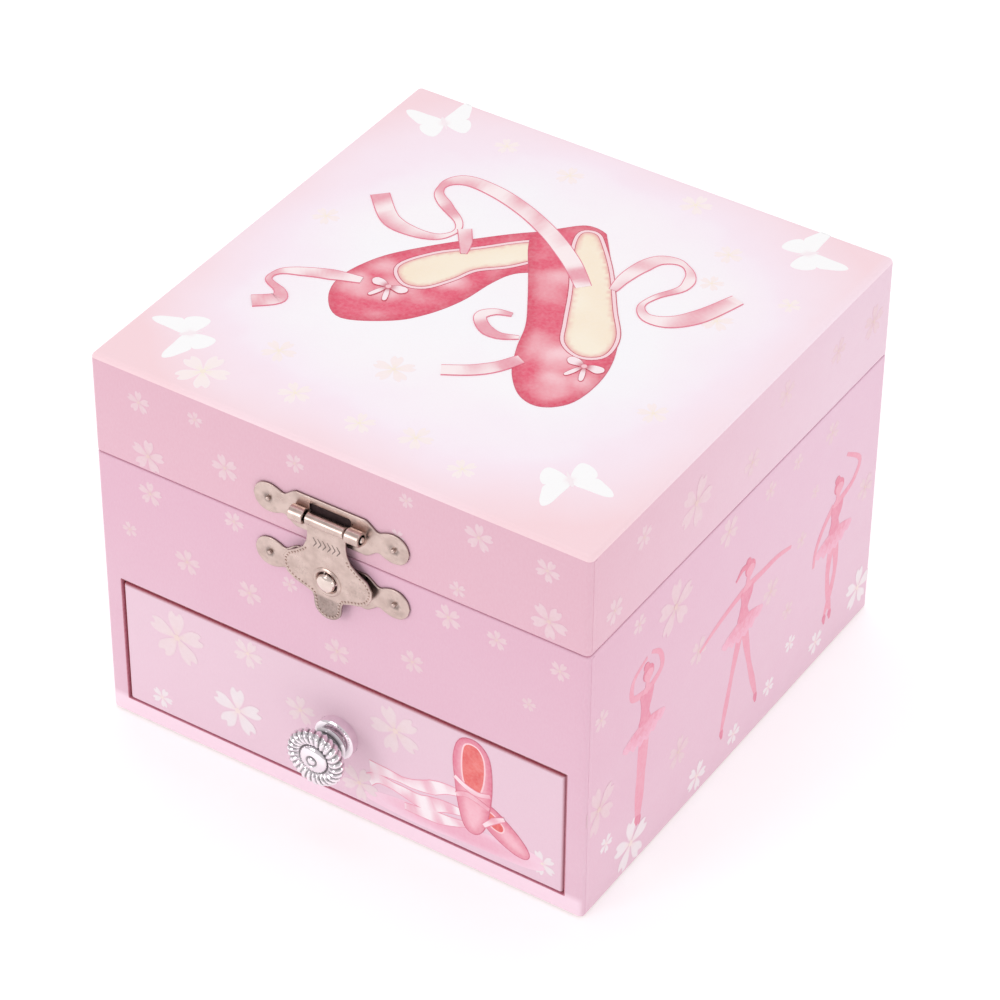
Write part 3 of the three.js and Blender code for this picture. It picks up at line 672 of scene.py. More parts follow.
def bridge(count: int, first: int, second: int) -> list[tuple[int, ...]]:
    """Quads between two equal rings that start at the given indices."""
    return [(first + i, first + (i + 1) % count, second + (i + 1) % count, second + i)
            for i in range(count)]


def loft(loops: Sequence[Loop], ring: bool = False) -> Form:
    """Skins a run of equal loops; its ends are capped unless it closes on itself.

    Args:
        loops: Loops with equal numbers of points.
        ring: True if the last loop meets the first.

    Returns:
        The skin.
    """
    count = len(loops[0])
    form = Form([p.copy() for loop in loops for p in loop])
    for k in range(len(loops) if ring else len(loops) - 1):
        form.faces += bridge(count, k * count, (k + 1) % len(loops) * count)
    if not ring:
        form.faces.append(tuple(reversed(range(count))))
        form.faces.append(tuple(range((len(loops) - 1) * count, len(loops) * count)))
    return form


def rounded_rect(half_u: float, half_v: float, radius: float, steps: int = 5) -> list[Flat]:
    """Rectangle about the origin with round corners.

    Args:
        half_u: Half its width.
        half_v: Half its height.
        radius: Radius of its corners.
        steps: Steps in each corner.

    Returns:
        The outline.
    """
    points = []
    for corner in range(4):
        middle = (corner + 0.5) * TURN / 4
        cu = math.copysign(half_u - radius, math.cos(middle))
        cv = math.copysign(half_v - radius, math.sin(middle))
        for step in range(steps + 1):
            angle = (corner + step / steps) * TURN / 4
            points.append((cu + radius * math.cos(angle), cv + radius * math.sin(angle)))
    return points


def smooth(points: Outline, steps: int = 6, closed: bool = True) -> list[Flat]:
    """Smooth curve through a few points.

    Args:
        points: Points on the curve.
        steps: Steps between two points.
        closed: True if it ends where it starts.

    Returns:
        The finer curve.
    """
    count = len(points)
    spans = count if closed else count - 1

    def at(index: int) -> Vector:
        """Given point by its number, past either end too."""
        return Vector(points[index % count] if closed else points[min(max(index, 0), count - 1)])

    curve = []
    for k in range(spans):
        a, b, c, d = at(k - 1), at(k), at(k + 1), at(k + 2)
        for step in range(steps):
            t = step / steps
            curve.append(tuple(0.5 * (2 * b + (c - a) * t + (2 * a - 5 * b + 4 * c - d) * t * t
                                      + (3 * b - a - 3 * c + d) * t ** 3)))
    if not closed:
        curve.append(tuple(points[-1]))
    return curve


def circle(radius: float, sides: int, cu: float = 0.0, cv: float = 0.0) -> list[Flat]:
    """Round outline."""
    return [(cu + radius * math.cos(TURN * i / sides), cv + radius * math.sin(TURN * i / sides))
            for i in range(sides)]


def inset(outline: Outline, distance: float) -> list[Flat]:
    """Outline moved inwards along its own normals; a negative distance moves it out.

    Args:
        outline: Closed outline.
        distance: How far each point moves.

    Returns:
        The moved outline.
    """
    count = len(outline)
    area = sum(outline[i][0] * outline[(i + 1) % count][1] - outline[(i + 1) % count][0] * outline[i][1]
               for i in range(count))
    turn = distance if area > 0 else -distance
    moved = []
    for i, (u, v) in enumerate(outline):
        along = Vector(outline[(i + 1) % count]) - Vector(outline[i - 1])
        along.normalize()
        moved.append((u - along.y * turn, v + along.x * turn))
    return moved


def inside(point: Flat, outline: Outline) -> bool:
    """True if a point lies inside an outline.

    Args:
        point: The point.
        outline: Closed outline.

    Returns:
        Whether it lies inside.
    """
    u, v = point
    hit = False
    for (au, av), (bu, bv) in zip(outline, [*outline[1:], outline[0]]):
        if (av > v) != (bv > v) and u < (bu - au) * (v - av) / (bv - av) + au:
            hit = not hit
    return hit


def fill(outlines: Sequence[Outline], holes: Sequence[Outline] = (), grid: float = 0.0
         ) -> tuple[list[Vector], list[tuple[int, ...]]]:
    """Triangles of the union of some outlines, less holes, with grid points inside.

    Args:
        outlines: Closed outlines, which may overlap.
        holes: Closed outlines left open.
        grid: Spacing of the inner points, or 0 for none.

    Returns:
        The flat points and the triangles that use them.
    """
    points: list[Vector] = []
    loops: list[list[int]] = []
    for outline in (*outlines, *holes):
        loops.append(list(range(len(points), len(points) + len(outline))))
        points += [Vector(p) for p in outline]
    if grid:
        us, vs = [p.x for p in points], [p.y for p in points]
        rows = int((max(vs) - min(vs)) / grid) + 1
        columns = int((max(us) - min(us)) / grid) + 1
        for row in range(rows):
            for column in range(columns):
                place = (min(us) + (column + 0.5 * (row % 2) + 0.25) * grid, min(vs) + (row + 0.5) * grid)
                if any(inside(place, outline) for outline in outlines):
                    points.append(Vector(place))
    flat, _, triangles, *_ = delaunay_2d_cdt(points, [], loops[:len(outlines) + len(holes)], 1, 1e-5)
    kept = []
    for face in triangles:
        middle = sum((flat[i] for i in face), Vector((0, 0))) / len(face)
        covered = any(inside(middle, outline) for outline in outlines)
        if covered and not any(inside(middle, hole) for hole in holes):
            kept.append(tuple(face))
    return flat, kept


def slab(outlines: Sequence[Outline], low: float, high: float, grid: float = 0.0,
         holes: Sequence[Outline] = (), paint: Paint | None = None,
         relief: Relief | None = None) -> Form:
    """Closed slab on the union of some outlines, between two heights, painted from above.

    Args:
        outlines: Closed outlines, which may overlap.
        low: Height of the underside.
        high: Height of the top.
        grid: Spacing of the inner points, or 0 for none.
        holes: Closed outlines left open.
        paint: Colour at each place.
        relief: Rise of the top at each place.

    Returns:
        The slab.
    """
    flat, triangles = fill(outlines, holes, grid)
    used = sorted({i for face in triangles for i in face})
    number = {index: k for k, index in enumerate(used)}
    count = len(used)
    tops = [high + (relief(*flat[i]) if relief else 0.0) for i in used]
    form = Form([Vector((*flat[i], top)) for i, top in zip(used, tops)]
                + [Vector((*flat[i], low)) for i in used])
    if paint:
        form.inks = [paint(*flat[i]) for i in used] * 2
    edges: dict[tuple[int, int], int] = {}
    for face in triangles:
        ring = [number[i] for i in face]
        form.faces.append(tuple(ring))
        form.faces.append(tuple(i + count for i in reversed(ring)))
        for a, b in zip(ring, ring[1:] + ring[:1]):
            edges[a, b] = edges.get((a, b), 0) + 1
    for a, b in edges:
        if (b, a) not in edges:
            form.faces.append((b, a, a + count, b + count))
    return form


def plate(outline: Outline, thickness: float, bevel: float, holes: Sequence[Outline] = (),
          grid: float = 0.0, relief: Relief | None = None) -> Form:
    """Stamped plate with rolled edges on its outline and round its holes.

    Args:
        outline: Closed outline.
        thickness: Its gauge.
        bevel: Radius of the rolled edges.
        holes: Outlines of its holes.
        grid: Spacing of the inner points, or 0 for none.
        relief: Rise of its face at each place.

    Returns:
        The plate, lying flat.
    """
    steps = [(bevel * (1 - math.sin(a)), bevel * (1 - math.cos(a))) for a in (0, 0.52, 1.05, TURN / 4)]
    stations = [*steps, *((s, thickness - h) for s, h in reversed(steps))]
    form = Form()
    for edge, sign in [(outline, 1), *((hole, -1) for hole in holes)]:
        loops = [[Vector((*p, h)) for p in inset(edge, sign * s)] for s, h in stations]
        skin = loft(loops)
        skin.faces = skin.faces[:-2]
        form.add(skin)
    flat, triangles = fill([inset(outline, bevel)], [inset(hole, -bevel) for hole in holes], grid)
    for height, lifted in ((0.0, None), (thickness, relief)):
        points = [Vector((*p, height + (lifted(*p) if lifted else 0.0))) for p in flat]
        form.add(Form(points, list(triangles)))
    return form


def lathe(profile: Outline, sides: int = 32, ring: bool = False) -> Form:
    """Turned form about +Z from radius and height pairs."""
    return loft([[Vector((*p, h)) for p in circle(max(r, 1e-4), sides)] for r, h in profile], ring)


def tube(path: Sequence[Vector], radii: Sequence[float], sides: int) -> Form:
    """Round tube along a path, with a radius at each point.

    Args:
        path: Middle line.
        radii: Radius at each point.
        sides: Sides round it.

    Returns:
        The tube.
    """
    loops = []
    side = None
    for k, point in enumerate(path):
        along = (path[min(k + 1, len(path) - 1)] - path[max(k - 1, 0)]).normalized()
        if side is None:
            side = along.orthogonal().normalized()
        side = (side - along * side.dot(along)).normalized()
        up = along.cross(side)
        loops.append([point + radii[k] * (side * u + up * v) for u, v in circle(1, sides)])
    return loft(loops)


def along_y(form: Form, out: int = -1) -> Form:
    """Turns a form made along +Z so that it points out of the front (-1) or the back (+1)."""
    return form.placed(Matrix.Rotation(-out * TURN / 4, 4, "X"))


@dataclass(frozen=True)
class Panel:
    """One face of the box as a drawing board: across, up and out of the face."""

    origin: Vector
    across: Vector
    up: Vector

    def matrix(self) -> Matrix:
        """Matrix from the drawing board to the box, in millimetres.

        Returns:
            The matrix.
        """
        out = self.across.cross(self.up)
        turn = Matrix((self.across, self.up, out)).transposed()
        return Matrix.Translation(self.origin) @ turn.to_4x4()


X, Y, Z = Vector((1, 0, 0)), Vector((0, 1, 0)), Vector((0, 0, 1))
TOP = Panel(Z * BOX_TOP, X, Y)
FRONT = Panel(Y * -CASE_HALF, X, Z)
RIGHT = Panel(X * CASE_HALF, Y, Z)
BACK = Panel(Y * CASE_HALF, -X, Z)
LEFT = Panel(X * -CASE_HALF, -Y, Z)


# --- finishing a piece


def settle(obj: Piece, body: str, slot: str, *replaced: str) -> Piece:
    """Puts a finished piece on its body, and hides the frame nodes it stands for.

    Args:
        obj: The piece.
        body: Body it rides.
        slot: Its slot in the record; not used.
        replaced: Frame nodes it stands for.

    Returns:
        The same piece.
    """
    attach(obj, body)
    if replaced:
        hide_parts(*replaced)
    LOG.info("%s: %d faces on %s", obj.name, len(obj.data.polygons), body)
    return obj


def baked(obj: Piece, name: str) -> Piece:
    """Plain-mesh copy of an object with its modifiers applied; the source is removed.

    Args:
        obj: Object with modifiers.
        name: Name of the copy.

    Returns:
        The copy.
    """
    graph = bpy.context.evaluated_depsgraph_get()
    mesh = bpy.data.meshes.new_from_object(obj.evaluated_get(graph))
    mesh.name = name
    made = linked(name, mesh)
    bpy.data.objects.remove(obj)
    return made


def carved(obj: Piece, tool: Form) -> Piece:
    """The object less a closed tool form.

    Args:
        obj: Object to cut.
        tool: Form to cut away.

    Returns:
        The cut object.
    """
    name = obj.name
    cutter = tool.build("cutter")
    modifier = obj.modifiers.new("cut", "BOOLEAN")
    modifier.object = cutter
    modifier.solver = "EXACT"
    obj.name = name + "_uncut"
    made = baked(obj, name)
    bpy.data.objects.remove(cutter)
    return made


def block(low: Sequence[float], high: Sequence[float]) -> Form:
    """Box between two corners.

    Args:
        low: Lowest corner.
        high: Highest corner.

    Returns:
        The box.
    """
    loops = [[Vector((low[0], low[1], z)), Vector((high[0], low[1], z)),
              Vector((high[0], high[1], z)), Vector((low[0], high[1], z))] for z in (low[2], high[2])]
    return loft(loops)


def bar(low: Sequence[float], high: Sequence[float], edge: float) -> Form:
    """Box between two corners with rounded edges.

    Args:
        low: Lowest corner.
        high: Highest corner.
        edge: Radius of its edges.

    Returns:
        The box.
    """
    middle = [(a + b) / 2 for a, b in zip(low, high)]
    half = [(b - a) / 2 for a, b in zip(low, high)]
    loops = []
    for angle in (0, 0.4, 0.8, 1.2, TURN / 4):
        back = edge * (1 - math.sin(angle))
        rise = edge * (1 - math.cos(angle))
        loops.append([Vector((u, v, -half[2] + rise)) for u, v in
                      rounded_rect(half[0] - back, half[1] - back, max(edge - back, 0.01))])
    loops += [[Vector((p.x, p.y, -p.z)) for p in loop] for loop in reversed(loops)]
    return loft(loops).placed(Matrix.Translation(middle))


# --- repeated detail


@dataclass(frozen=True)
class Spot:
    """One copy of a repeated item: its place on a panel, size and turn in degrees."""

    u: float
    v: float
    size: float = 1.0
    turn: float = 0.0


@dataclass
class Repeat:
    """Geometry Nodes tree that sets one item on every marked point."""

    item: Piece
    size: float = 1.0
    jitter: float = 0.0
    seed: int = 7

    def sizes(self, tree: bpy.types.GeometryNodeTree, given: bpy.types.NodeOutputs) -> Socket:
        """Size of each copy: its own, times the common one and a random share.

        Args:
            tree: Tree the nodes are added to.
            given: The tree's inputs.

        Returns:
            The size's output.
        """
        add, link = tree.nodes.new, tree.links.new
        own = add("GeometryNodeInputNamedAttribute")
        own.inputs["Name"].default_value = "size"
        share = add("FunctionNodeRandomValue")
        link(given["Seed"], share.inputs["Seed"])
        for operation, bound in (("SUBTRACT", 2), ("ADD", 3)):
            limit = add("ShaderNodeMath")
            limit.operation = operation
            limit.inputs[0].default_value = 1.0
            link(given["Size Jitter"], limit.inputs[1])
            link(limit.outputs[0], share.inputs[bound])
        size = own.outputs[0]
        for factor in (given["Item Size"], share.outputs[1]):
            product = add("ShaderNodeMath")
            product.operation = "MULTIPLY"
            link(size, product.inputs[0])
            link(factor, product.inputs[1])
            size = product.outputs[0]
        return size

    def tree(self, finish: Finish) -> bpy.types.GeometryNodeTree:
        """Builds the node tree with its named inputs.

        Args:
            finish: Finish of every copy.

        Returns:
            The tree.
        """
        tree = bpy.data.node_groups.new("repeat_" + self.item.name, "GeometryNodeTree")
        for name, way, kind in (("Points", "INPUT", "Geometry"), ("Item Size", "INPUT", "Float"),
                                ("Size Jitter", "INPUT", "Float"), ("Seed", "INPUT", "Int"),
                                ("Pieces", "OUTPUT", "Geometry")):
            tree.interface.new_socket(name, in_out=way, socket_type="NodeSocket" + kind)
        add, link = tree.nodes.new, tree.links.new
        given = add("NodeGroupInput").outputs
        item = add("GeometryNodeObjectInfo")
        item.inputs["Object"].default_value = self.item
        turn = add("GeometryNodeInputNamedAttribute")
        turn.data_type = "FLOAT_VECTOR"
        turn.inputs["Name"].default_value = "turn"
        place = add("GeometryNodeInstanceOnPoints")
        link(given["Points"], place.inputs["Points"])
        link(item.outputs["Geometry"], place.inputs["Instance"])
        link(turn.outputs[0], place.inputs["Rotation"])
        link(self.sizes(tree, given), place.inputs["Scale"])
        real = add("GeometryNodeRealizeInstances")
        link(place.outputs[0], real.inputs[0])
        dress_up = add("GeometryNodeSetMaterial")
        dress_up.inputs["Material"].default_value = finish.material()
        link(real.outputs[0], dress_up.inputs["Geometry"])
        link(dress_up.outputs[0], add("NodeGroupOutput").inputs[0])
        return tree

    def over(self, name: str, places: Sequence[Matrix], finish: Finish) -> Piece:
        """Sets the item at each place and turns the result into one plain mesh.

        Args:
            name: Name of the piece.
            places: Matrices in millimetres; their scale is the item's size there.
            finish: Finish of every copy.

        Returns:
            The finished mesh object.
        """
        mesh = bpy.data.meshes.new(name + "_points")
        mesh.from_pydata([m.translation * MM for m in places], [], [])
        mesh.attributes.new("turn", "FLOAT_VECTOR", "POINT")
        mesh.attributes.new("size", "FLOAT", "POINT")
        turns = [value for matrix in places for value in matrix.to_euler()]
        mesh.attributes["turn"].data.foreach_set("vector", turns)
        mesh.attributes["size"].data.foreach_set("value", [matrix.to_scale().x for matrix in places])
        holder = linked(name + "_points", mesh)
        modifier = holder.modifiers.new("repeat", "NODES")
        tree = self.tree(finish)
        modifier.node_group = tree
        values = {"Item Size": self.size, "Size Jitter": self.jitter, "Seed": self.seed}
        for socket in tree.interface.items_tree:
            if socket.in_out == "INPUT" and socket.name in values:
                modifier[socket.identifier] = values[socket.name]
        made = baked(holder, name)
        bpy.data.objects.remove(self.item)
        return made


def spots_on(panel: Panel, spots: Sequence[Spot]) -> list[Matrix]:
    """Places of some spots on a panel."""
    return [panel.matrix() @ Matrix.Translation((s.u, s.v, 0))
            @ Matrix.Rotation(math.radians(s.turn), 4, "Z") @ Matrix.Scale(s.size, 4) for s in spots]


def round_path(path: Outline, pitch: float) -> list[Flat]:
    """Evenly spaced places round a closed flat path.

    Args:
        path: Closed outline.
        pitch: Spacing aimed at.

    Returns:
        The places.
    """
    points = [Vector(p) for p in (*path, path[0])]
    total = sum((b - a).length for a, b in zip(points, points[1:]))
    count = max(int(total / pitch), 1)
    step = total / count
    places, walked, target = [], 0.0, 0.0
    for a, b in zip(points, points[1:]):
        length = (b - a).length
        while length and walked + length >= target - 1e-9 and len(places) < count:
            places.append(tuple(a.lerp(b, (target - walked) / length)))
            target += step
        walked += length
    return places


# --- printed decoration


INK_ROOT = -0.02  # height of every print's underside, just below the paper
LAYER = 0.008  # step between two layers of ink


def print_patch(panel: Panel, outline: Outline, paint: Paint, lift: float, grid: float = 0.0) -> Form:
    """One thin closed layer of ink on a panel.

    Args:
        panel: Face of the box the print is on.
        outline: Outline of the print in the panel's own millimetres.
        paint: Colour at each place.
        lift: Height of the ink over the paper.
        grid: Spacing of inner colour points, or 0 for none.

    Returns:
        The closed layer.
    """
    return slab([outline], INK_ROOT, lift, grid, paint=paint).placed(panel.matrix())


def layered(panel: Panel, layers: Sequence[tuple[Outline, Paint, float]], lift: float) -> Form:
    """Prints laid over each other, each by its outline, paint and grid.

    Args:
        panel: Face of the box they are on.
        layers: The prints, lowest first.
        lift: Height of the lowest.

    Returns:
        The layers.
    """
    form = Form()
    for layer, (outline, paint, grid) in enumerate(layers):
        form.add(print_patch(panel, outline, paint, lift + LAYER * layer, grid))
    return form


def flat_ink(colour: Colour) -> Paint:
    """Paint of one colour."""
    return lambda u, v: colour


def washed_ink(colour: Colour, other: Colour, size: float) -> Paint:
    """Watercolour paint that drifts between two colours."""
    return lambda u, v: mix(colour, other, wash(u, v, size))


def moved(outline: Outline, u: float, v: float, scale: float = 1.0, turn: float = 0.0
          ) -> list[Flat]:
    """Outline scaled, turned by degrees and shifted."""
    c, s = math.cos(math.radians(turn)) * scale, math.sin(math.radians(turn)) * scale
    return [(u + x * c - y * s, v + x * s + y * c) for x, y in outline]


def band_edges(path: Outline, widths: Sequence[float]) -> tuple[list[Flat], list[Flat]]:
    """Both edges of a band that follows a path, with widths spread evenly along it.

    Args:
        path: Middle line.
        widths: Widths along it.

    Returns:
        The left edge and the right edge.
    """
    count = len(path)
    left, right = [], []
    for k, (u, v) in enumerate(path):
        along = Vector(path[min(k + 1, count - 1)]) - Vector(path[max(k - 1, 0)])
        along.normalize()
        place = k / (count - 1) * (len(widths) - 1)
        low = min(int(place), len(widths) - 2)
        half = (widths[low] + (widths[low + 1] - widths[low]) * (place - low)) / 2
        left.append((u - along.y * half, v + along.x * half))
        right.append((u + along.y * half, v - along.x * half))
    return left, right


def brush(panel: Panel, path: Outline, widths: Sequence[float], paint: Paint, lift: float,
          steps: int = 6) -> Form:
    """Brush stroke: short closed quads along a smooth path, so a self-crossing curl stays clean.

    Args:
        panel: Face of the box it is on.
        path: A few points along it.
        widths: Widths along it.
        paint: Colour at each place.
        lift: Height over the paper.
        steps: Steps between two points.

    Returns:
        The stroke.
    """
    loops = []
    for left, right in zip(*band_edges(smooth(path, steps, closed=False), widths)):
        loops.append([Vector((*left, lift)), Vector((*right, lift)),
                      Vector((*right, INK_ROOT)), Vector((*left, INK_ROOT))])
    form = loft(loops)
    form.inks = [paint(p.x, p.y) for p in form.points]
    return form.placed(panel.matrix())


def satin_stroke(panel: Panel, path: Outline, widths: Sequence[float], light: Colour,
                 shade: Colour, lift: float, folds: float) -> Form:
    """Satin ribbon stroke: pale body with shaded folds and a thin shaded lower edge.

    Args:
        panel: Face of the box it is on.
        path: A few points along it.
        widths: Widths along it.
        light: Colour of the satin.
        shade: Colour in its folds.
        lift: Height over the paper.
        folds: Size of the folds.

    Returns:
        The ribbon.
    """
    under = brush(panel, path, [w + 0.36 for w in widths], flat_ink(mix(shade, (0.75, 0.1, 0.2), 0.2)), lift)

    def fold(u: float, v: float) -> Colour:
        """Colour of the satin with its folds."""
        return mix(light, shade, ease(0.38, 0.7, wash(u, v, folds, 3.0)) * 0.8)

    return under.add(brush(panel, path, widths, fold, lift + 0.006))


PETAL = ((0, 0.04), (0.15, 0.26), (0.29, 0.62), (0.25, 0.88), (0.13, 0.98), (0, 0.84), (-0.13, 0.98),
         (-0.25, 0.88), (-0.29, 0.62), (-0.15, 0.26))


def petal_form(colour: Colour, heart: Colour, ground: Colour) -> Form:
    """Five notched petals round a heart, one unit from the centre to a petal's tip.

    Args:
        colour: Colour of the petals.
        heart: Colour at the centre.
        ground: Colour of the paper.

    Returns:
        The blossom.
    """
    form = Form()
    soft = mix(ground, colour, 0.35)
    for k in range(5):
        outline = moved(smooth(PETAL, 4), 0, 0, 1.0, k * 72)
        core, outer = inset(outline, 0.055), inset(outline, 0.02)

        def petal(u: float, v: float) -> Colour:
            """Colour of this petal, softer along its rim."""
            body = mix(heart, colour, ease(0.08, 0.5, math.hypot(u, v)))
            return body if inside((u, v), outer) else soft

        form.add(slab([outline, core], -0.004, 0.003 + 0.0012 * k, 0.26, paint=petal))
    form.add(slab([circle(0.11, 10)], -0.004, 0.0105, paint=flat_ink(mix(heart, (1, 0.8, 0.4), 0.12))))
    return form


def cut_back(mesh: bpy.types.Mesh, panel: Panel, low: Sequence[float], high: Sequence[float]) -> None:
    """Cuts a print's overhang off at the edges of its paper, and closes the cuts.

    Args:
        mesh: The print.
        panel: Face of the box it is on.
        low: Lowest corner of the paper.
        high: Highest corner of the paper.
    """
    out = panel.across.cross(panel.up)
    bm = bmesh.new()
    bm.from_mesh(mesh)
    for axis in range(3):
        if abs(out[axis]) > 0.5:
            continue
        for limit, sign in ((low[axis], -1), (high[axis], 1)):
            place, way = Vector(), Vector()
            place[axis], way[axis] = limit * MM, sign
            cut = bmesh.ops.bisect_plane(bm, geom=[*bm.verts, *bm.edges, *bm.faces], dist=1e-8,
                                         plane_co=place, plane_no=way, clear_outer=True)
            edges = [edge for edge in cut["geom_cut"] if isinstance(edge, bmesh.types.BMEdge)]
            bmesh.ops.holes_fill(bm, edges=edges, sides=0)
    bm.to_mesh(mesh)
    bm.free()


def joined(pieces: Sequence[Piece], name: str) -> Piece:
    """One object from several, whose own objects are removed.

    Args:
        pieces: Objects to join.
        name: Name of the whole.

    Returns:
        The joined object.
    """
    bm = bmesh.new()
    for piece in pieces:
        bm.from_mesh(piece.data)
    whole = pieces[0]
    bm.to_mesh(whole.data)
    bm.free()
    for piece in pieces[1:]:
        bpy.data.objects.remove(piece)
    whole.name = name
    return whole


def blossoms(name: str, body: str, slot: str, places: Sequence[tuple[Panel, Sequence[Spot]]],
             colour: Colour, heart: Colour, ground: Colour, low: Sequence[float], high: Sequence[float]
             ) -> Piece:
    """Scattered five-petalled blossoms on one body.

    Args:
        name: Name of the piece.
        body: Body the print rides.
        slot: Record slot of the paper under it.
        places: Spots for each panel.
        colour: Colour of the petals.
        heart: Colour at the centre.
        ground: Colour of the paper, which a petal's edge fades towards.
        low: Lowest corner of the paper.
        high: Highest corner of the paper.

    Returns:
        The finished piece.
    """
    pieces = []
    for index, (panel, spots) in enumerate(places):
        item = petal_form(colour, heart, ground).build(name + "_flower", Finish.INK)
        part = Repeat(item, jitter=0.06, seed=11 + index).over(
            f"{name}_{index}", spots_on(panel, spots), Finish.INK)
        cut_back(part.data, panel, low, high)
        pieces.append(part)
    return settle(joined(pieces, name), body, slot)


FRONT_LID_SPOTS = (
    (-44, 80, 2.6), (-8.5, 81, 2.2), (16, 83, 1.6), (31.5, 81.5, 3), (46, 80.5, 2.6), (-24.5, 73, 3),
    (-42.5, 68, 3.8), (46.5, 69, 4.2), (27, 67.5, 1.8), (-31, 81.5, 1.8), (14, 74, 1.6))
FRONT_CASE_SPOTS = (
    (-42.5, 59, 2.8), (-23, 61, 2.4), (25, 60, 2.8), (35.5, 59.5, 2.2), (49, 58.5, 2.2), (-48, 48, 1.8),
    (-34.5, 46, 3), (-20, 45, 3), (17, 45.5, 2.6), (42.5, 47.5, 1.6), (-10.5, 51.5, 1.8), (0, 40, 3))
DRAWER_FAINT_SPOTS = ((-38, 25.5, 6.5), (-21, 29.5, 3.6), (13, 26.5, 5.6), (-9, 21, 3.4), (4.5, 9, 4.2))
DRAWER_WHITE_SPOTS = ((-24, 13.5, 5.8), (-42.5, 8, 2.6), (46, 9.5, 3))
RIGHT_LID_SPOTS = (
    (-37, 80, 2.6), (-18.5, 75.5, 6), (2, 71.5, 3), (14, 80, 3), (34, 77.5, 3), (-46.5, 69.5, 3), (48, 76, 4))
RIGHT_CASE_SPOTS = (
    (-24.5, 55, 6), (-37.5, 60, 2.4), (-5.5, 60, 3.4), (10, 59.5, 2.2), (20.5, 59.5, 2), (34, 58, 2.8),
    (-50, 46, 2.6), (28.5, 47, 1.6), (-50, 24, 6), (-21, 16.5, 4), (-15, 37.5, 3.2), (12.5, 33, 3),
    (24, 38, 2.0), (50, 34, 3.4), (20, 23, 2.2))
RIGHT_WHITE_SPOTS = (
    (-38, 6, 6), (0.5, 5, 2.6), (14, 7.5, 2.2), (22, 13, 2), (-13.5, 4.5, 3.5), (33, 5.5, 2.8), (50, 8, 5),
    (-47, 13, 2.4))
TOP_SPOTS = (
    (14, 49, 3.4), (28, 38, 3), (-5, -28, 4), (-34, -48, 5), (-16, -44, 3.2), (-1, -45, 3), (10, -43, 3.4),
    (22, -46, 3), (37, 18, 3.2), (-26, -35, 3.4), (42, -13, 3), (-12, 44, 3), (-44, 6, 3), (-28, 46, 2.6),
    (30, 28, 2.4), (46, 30, 2.4))


def turned_spots(spots: Sequence[Sequence[float]]) -> list[Spot]:
    """Spots with an even spread of turns."""
    return [Spot(u, v, size, 47.0 * k % 72) for k, (u, v, size) in enumerate(spots)]


@dataclass
class Blossoms:
    """Every scattered blossom on the box."""

    pale: Colour = linear(232, 200, 208)
    white: Colour = linear(240, 228, 232)
    cream: Colour = linear(254, 240, 239)

    def build(self) -> None:
        """Builds one piece for each body and ink."""
        half = CASE_HALF - 0.75
        faint_heart, white_heart = linear(228, 194, 198), linear(242, 222, 224)
        paper, drawer_paper = linear(231, 187, 206), linear(235, 202, 216)
        lid = ((-half, -half, LID_RIM + 0.4), (half, half, BOX_TOP - 0.75))
        case = ((-half, -half, 0.6), (half, half, CASE_RIM - 0.4))
        drawer = ((DRAWER_LOW.x + 0.5, -CASE_HALF - 1, DRAWER_LOW.z + 0.5),
                  (DRAWER_HIGH.x - 0.5, 0, DRAWER_HIGH.z - 0.5))
        blossoms("lid_blossoms", *LID_PART,
                 [(FRONT, turned_spots(FRONT_LID_SPOTS)), (RIGHT, turned_spots(RIGHT_LID_SPOTS)),
                  (BACK, turned_spots(FRONT_LID_SPOTS)), (LEFT, turned_spots(RIGHT_LID_SPOTS))],
                 self.pale, faint_heart, paper, *lid)
        blossoms("lid_top_blossoms", *LID_PART, [(TOP, turned_spots(TOP_SPOTS))],
                 self.cream, linear(252, 240, 228), linear(253, 240, 247), *lid)
        back = [s for s in turned_spots(RIGHT_CASE_SPOTS) if math.hypot(s.u, s.v - KEY_Z) > 15]
        blossoms("case_blossoms", *CASE_PART,
                 [(FRONT, turned_spots(FRONT_CASE_SPOTS)), (RIGHT, turned_spots(RIGHT_CASE_SPOTS)),
                  (BACK, back), (LEFT, turned_spots(RIGHT_CASE_SPOTS))], self.pale, faint_heart, paper,
                 *case)
        blossoms("case_white_blossoms", *CASE_PART,
                 [(RIGHT, turned_spots(RIGHT_WHITE_SPOTS)), (LEFT, turned_spots(RIGHT_WHITE_SPOTS))],
                 self.white, white_heart, paper, *case)
        front = Panel(Y * (DRAWER_LOW.y - PAPER), X, Z)
        blossoms("drawer_blossoms", *DRAWER_PART, [(front, turned_spots(DRAWER_FAINT_SPOTS))],
                 linear(237, 214, 219), linear(237, 212, 212), drawer_paper, *drawer)
        blossoms("drawer_white_blossoms", *DRAWER_PART,
                 [(front, turned_spots(DRAWER_WHITE_SPOTS))], self.white, white_heart, drawer_paper,
                 *drawer)


# --- the slippers on the lid


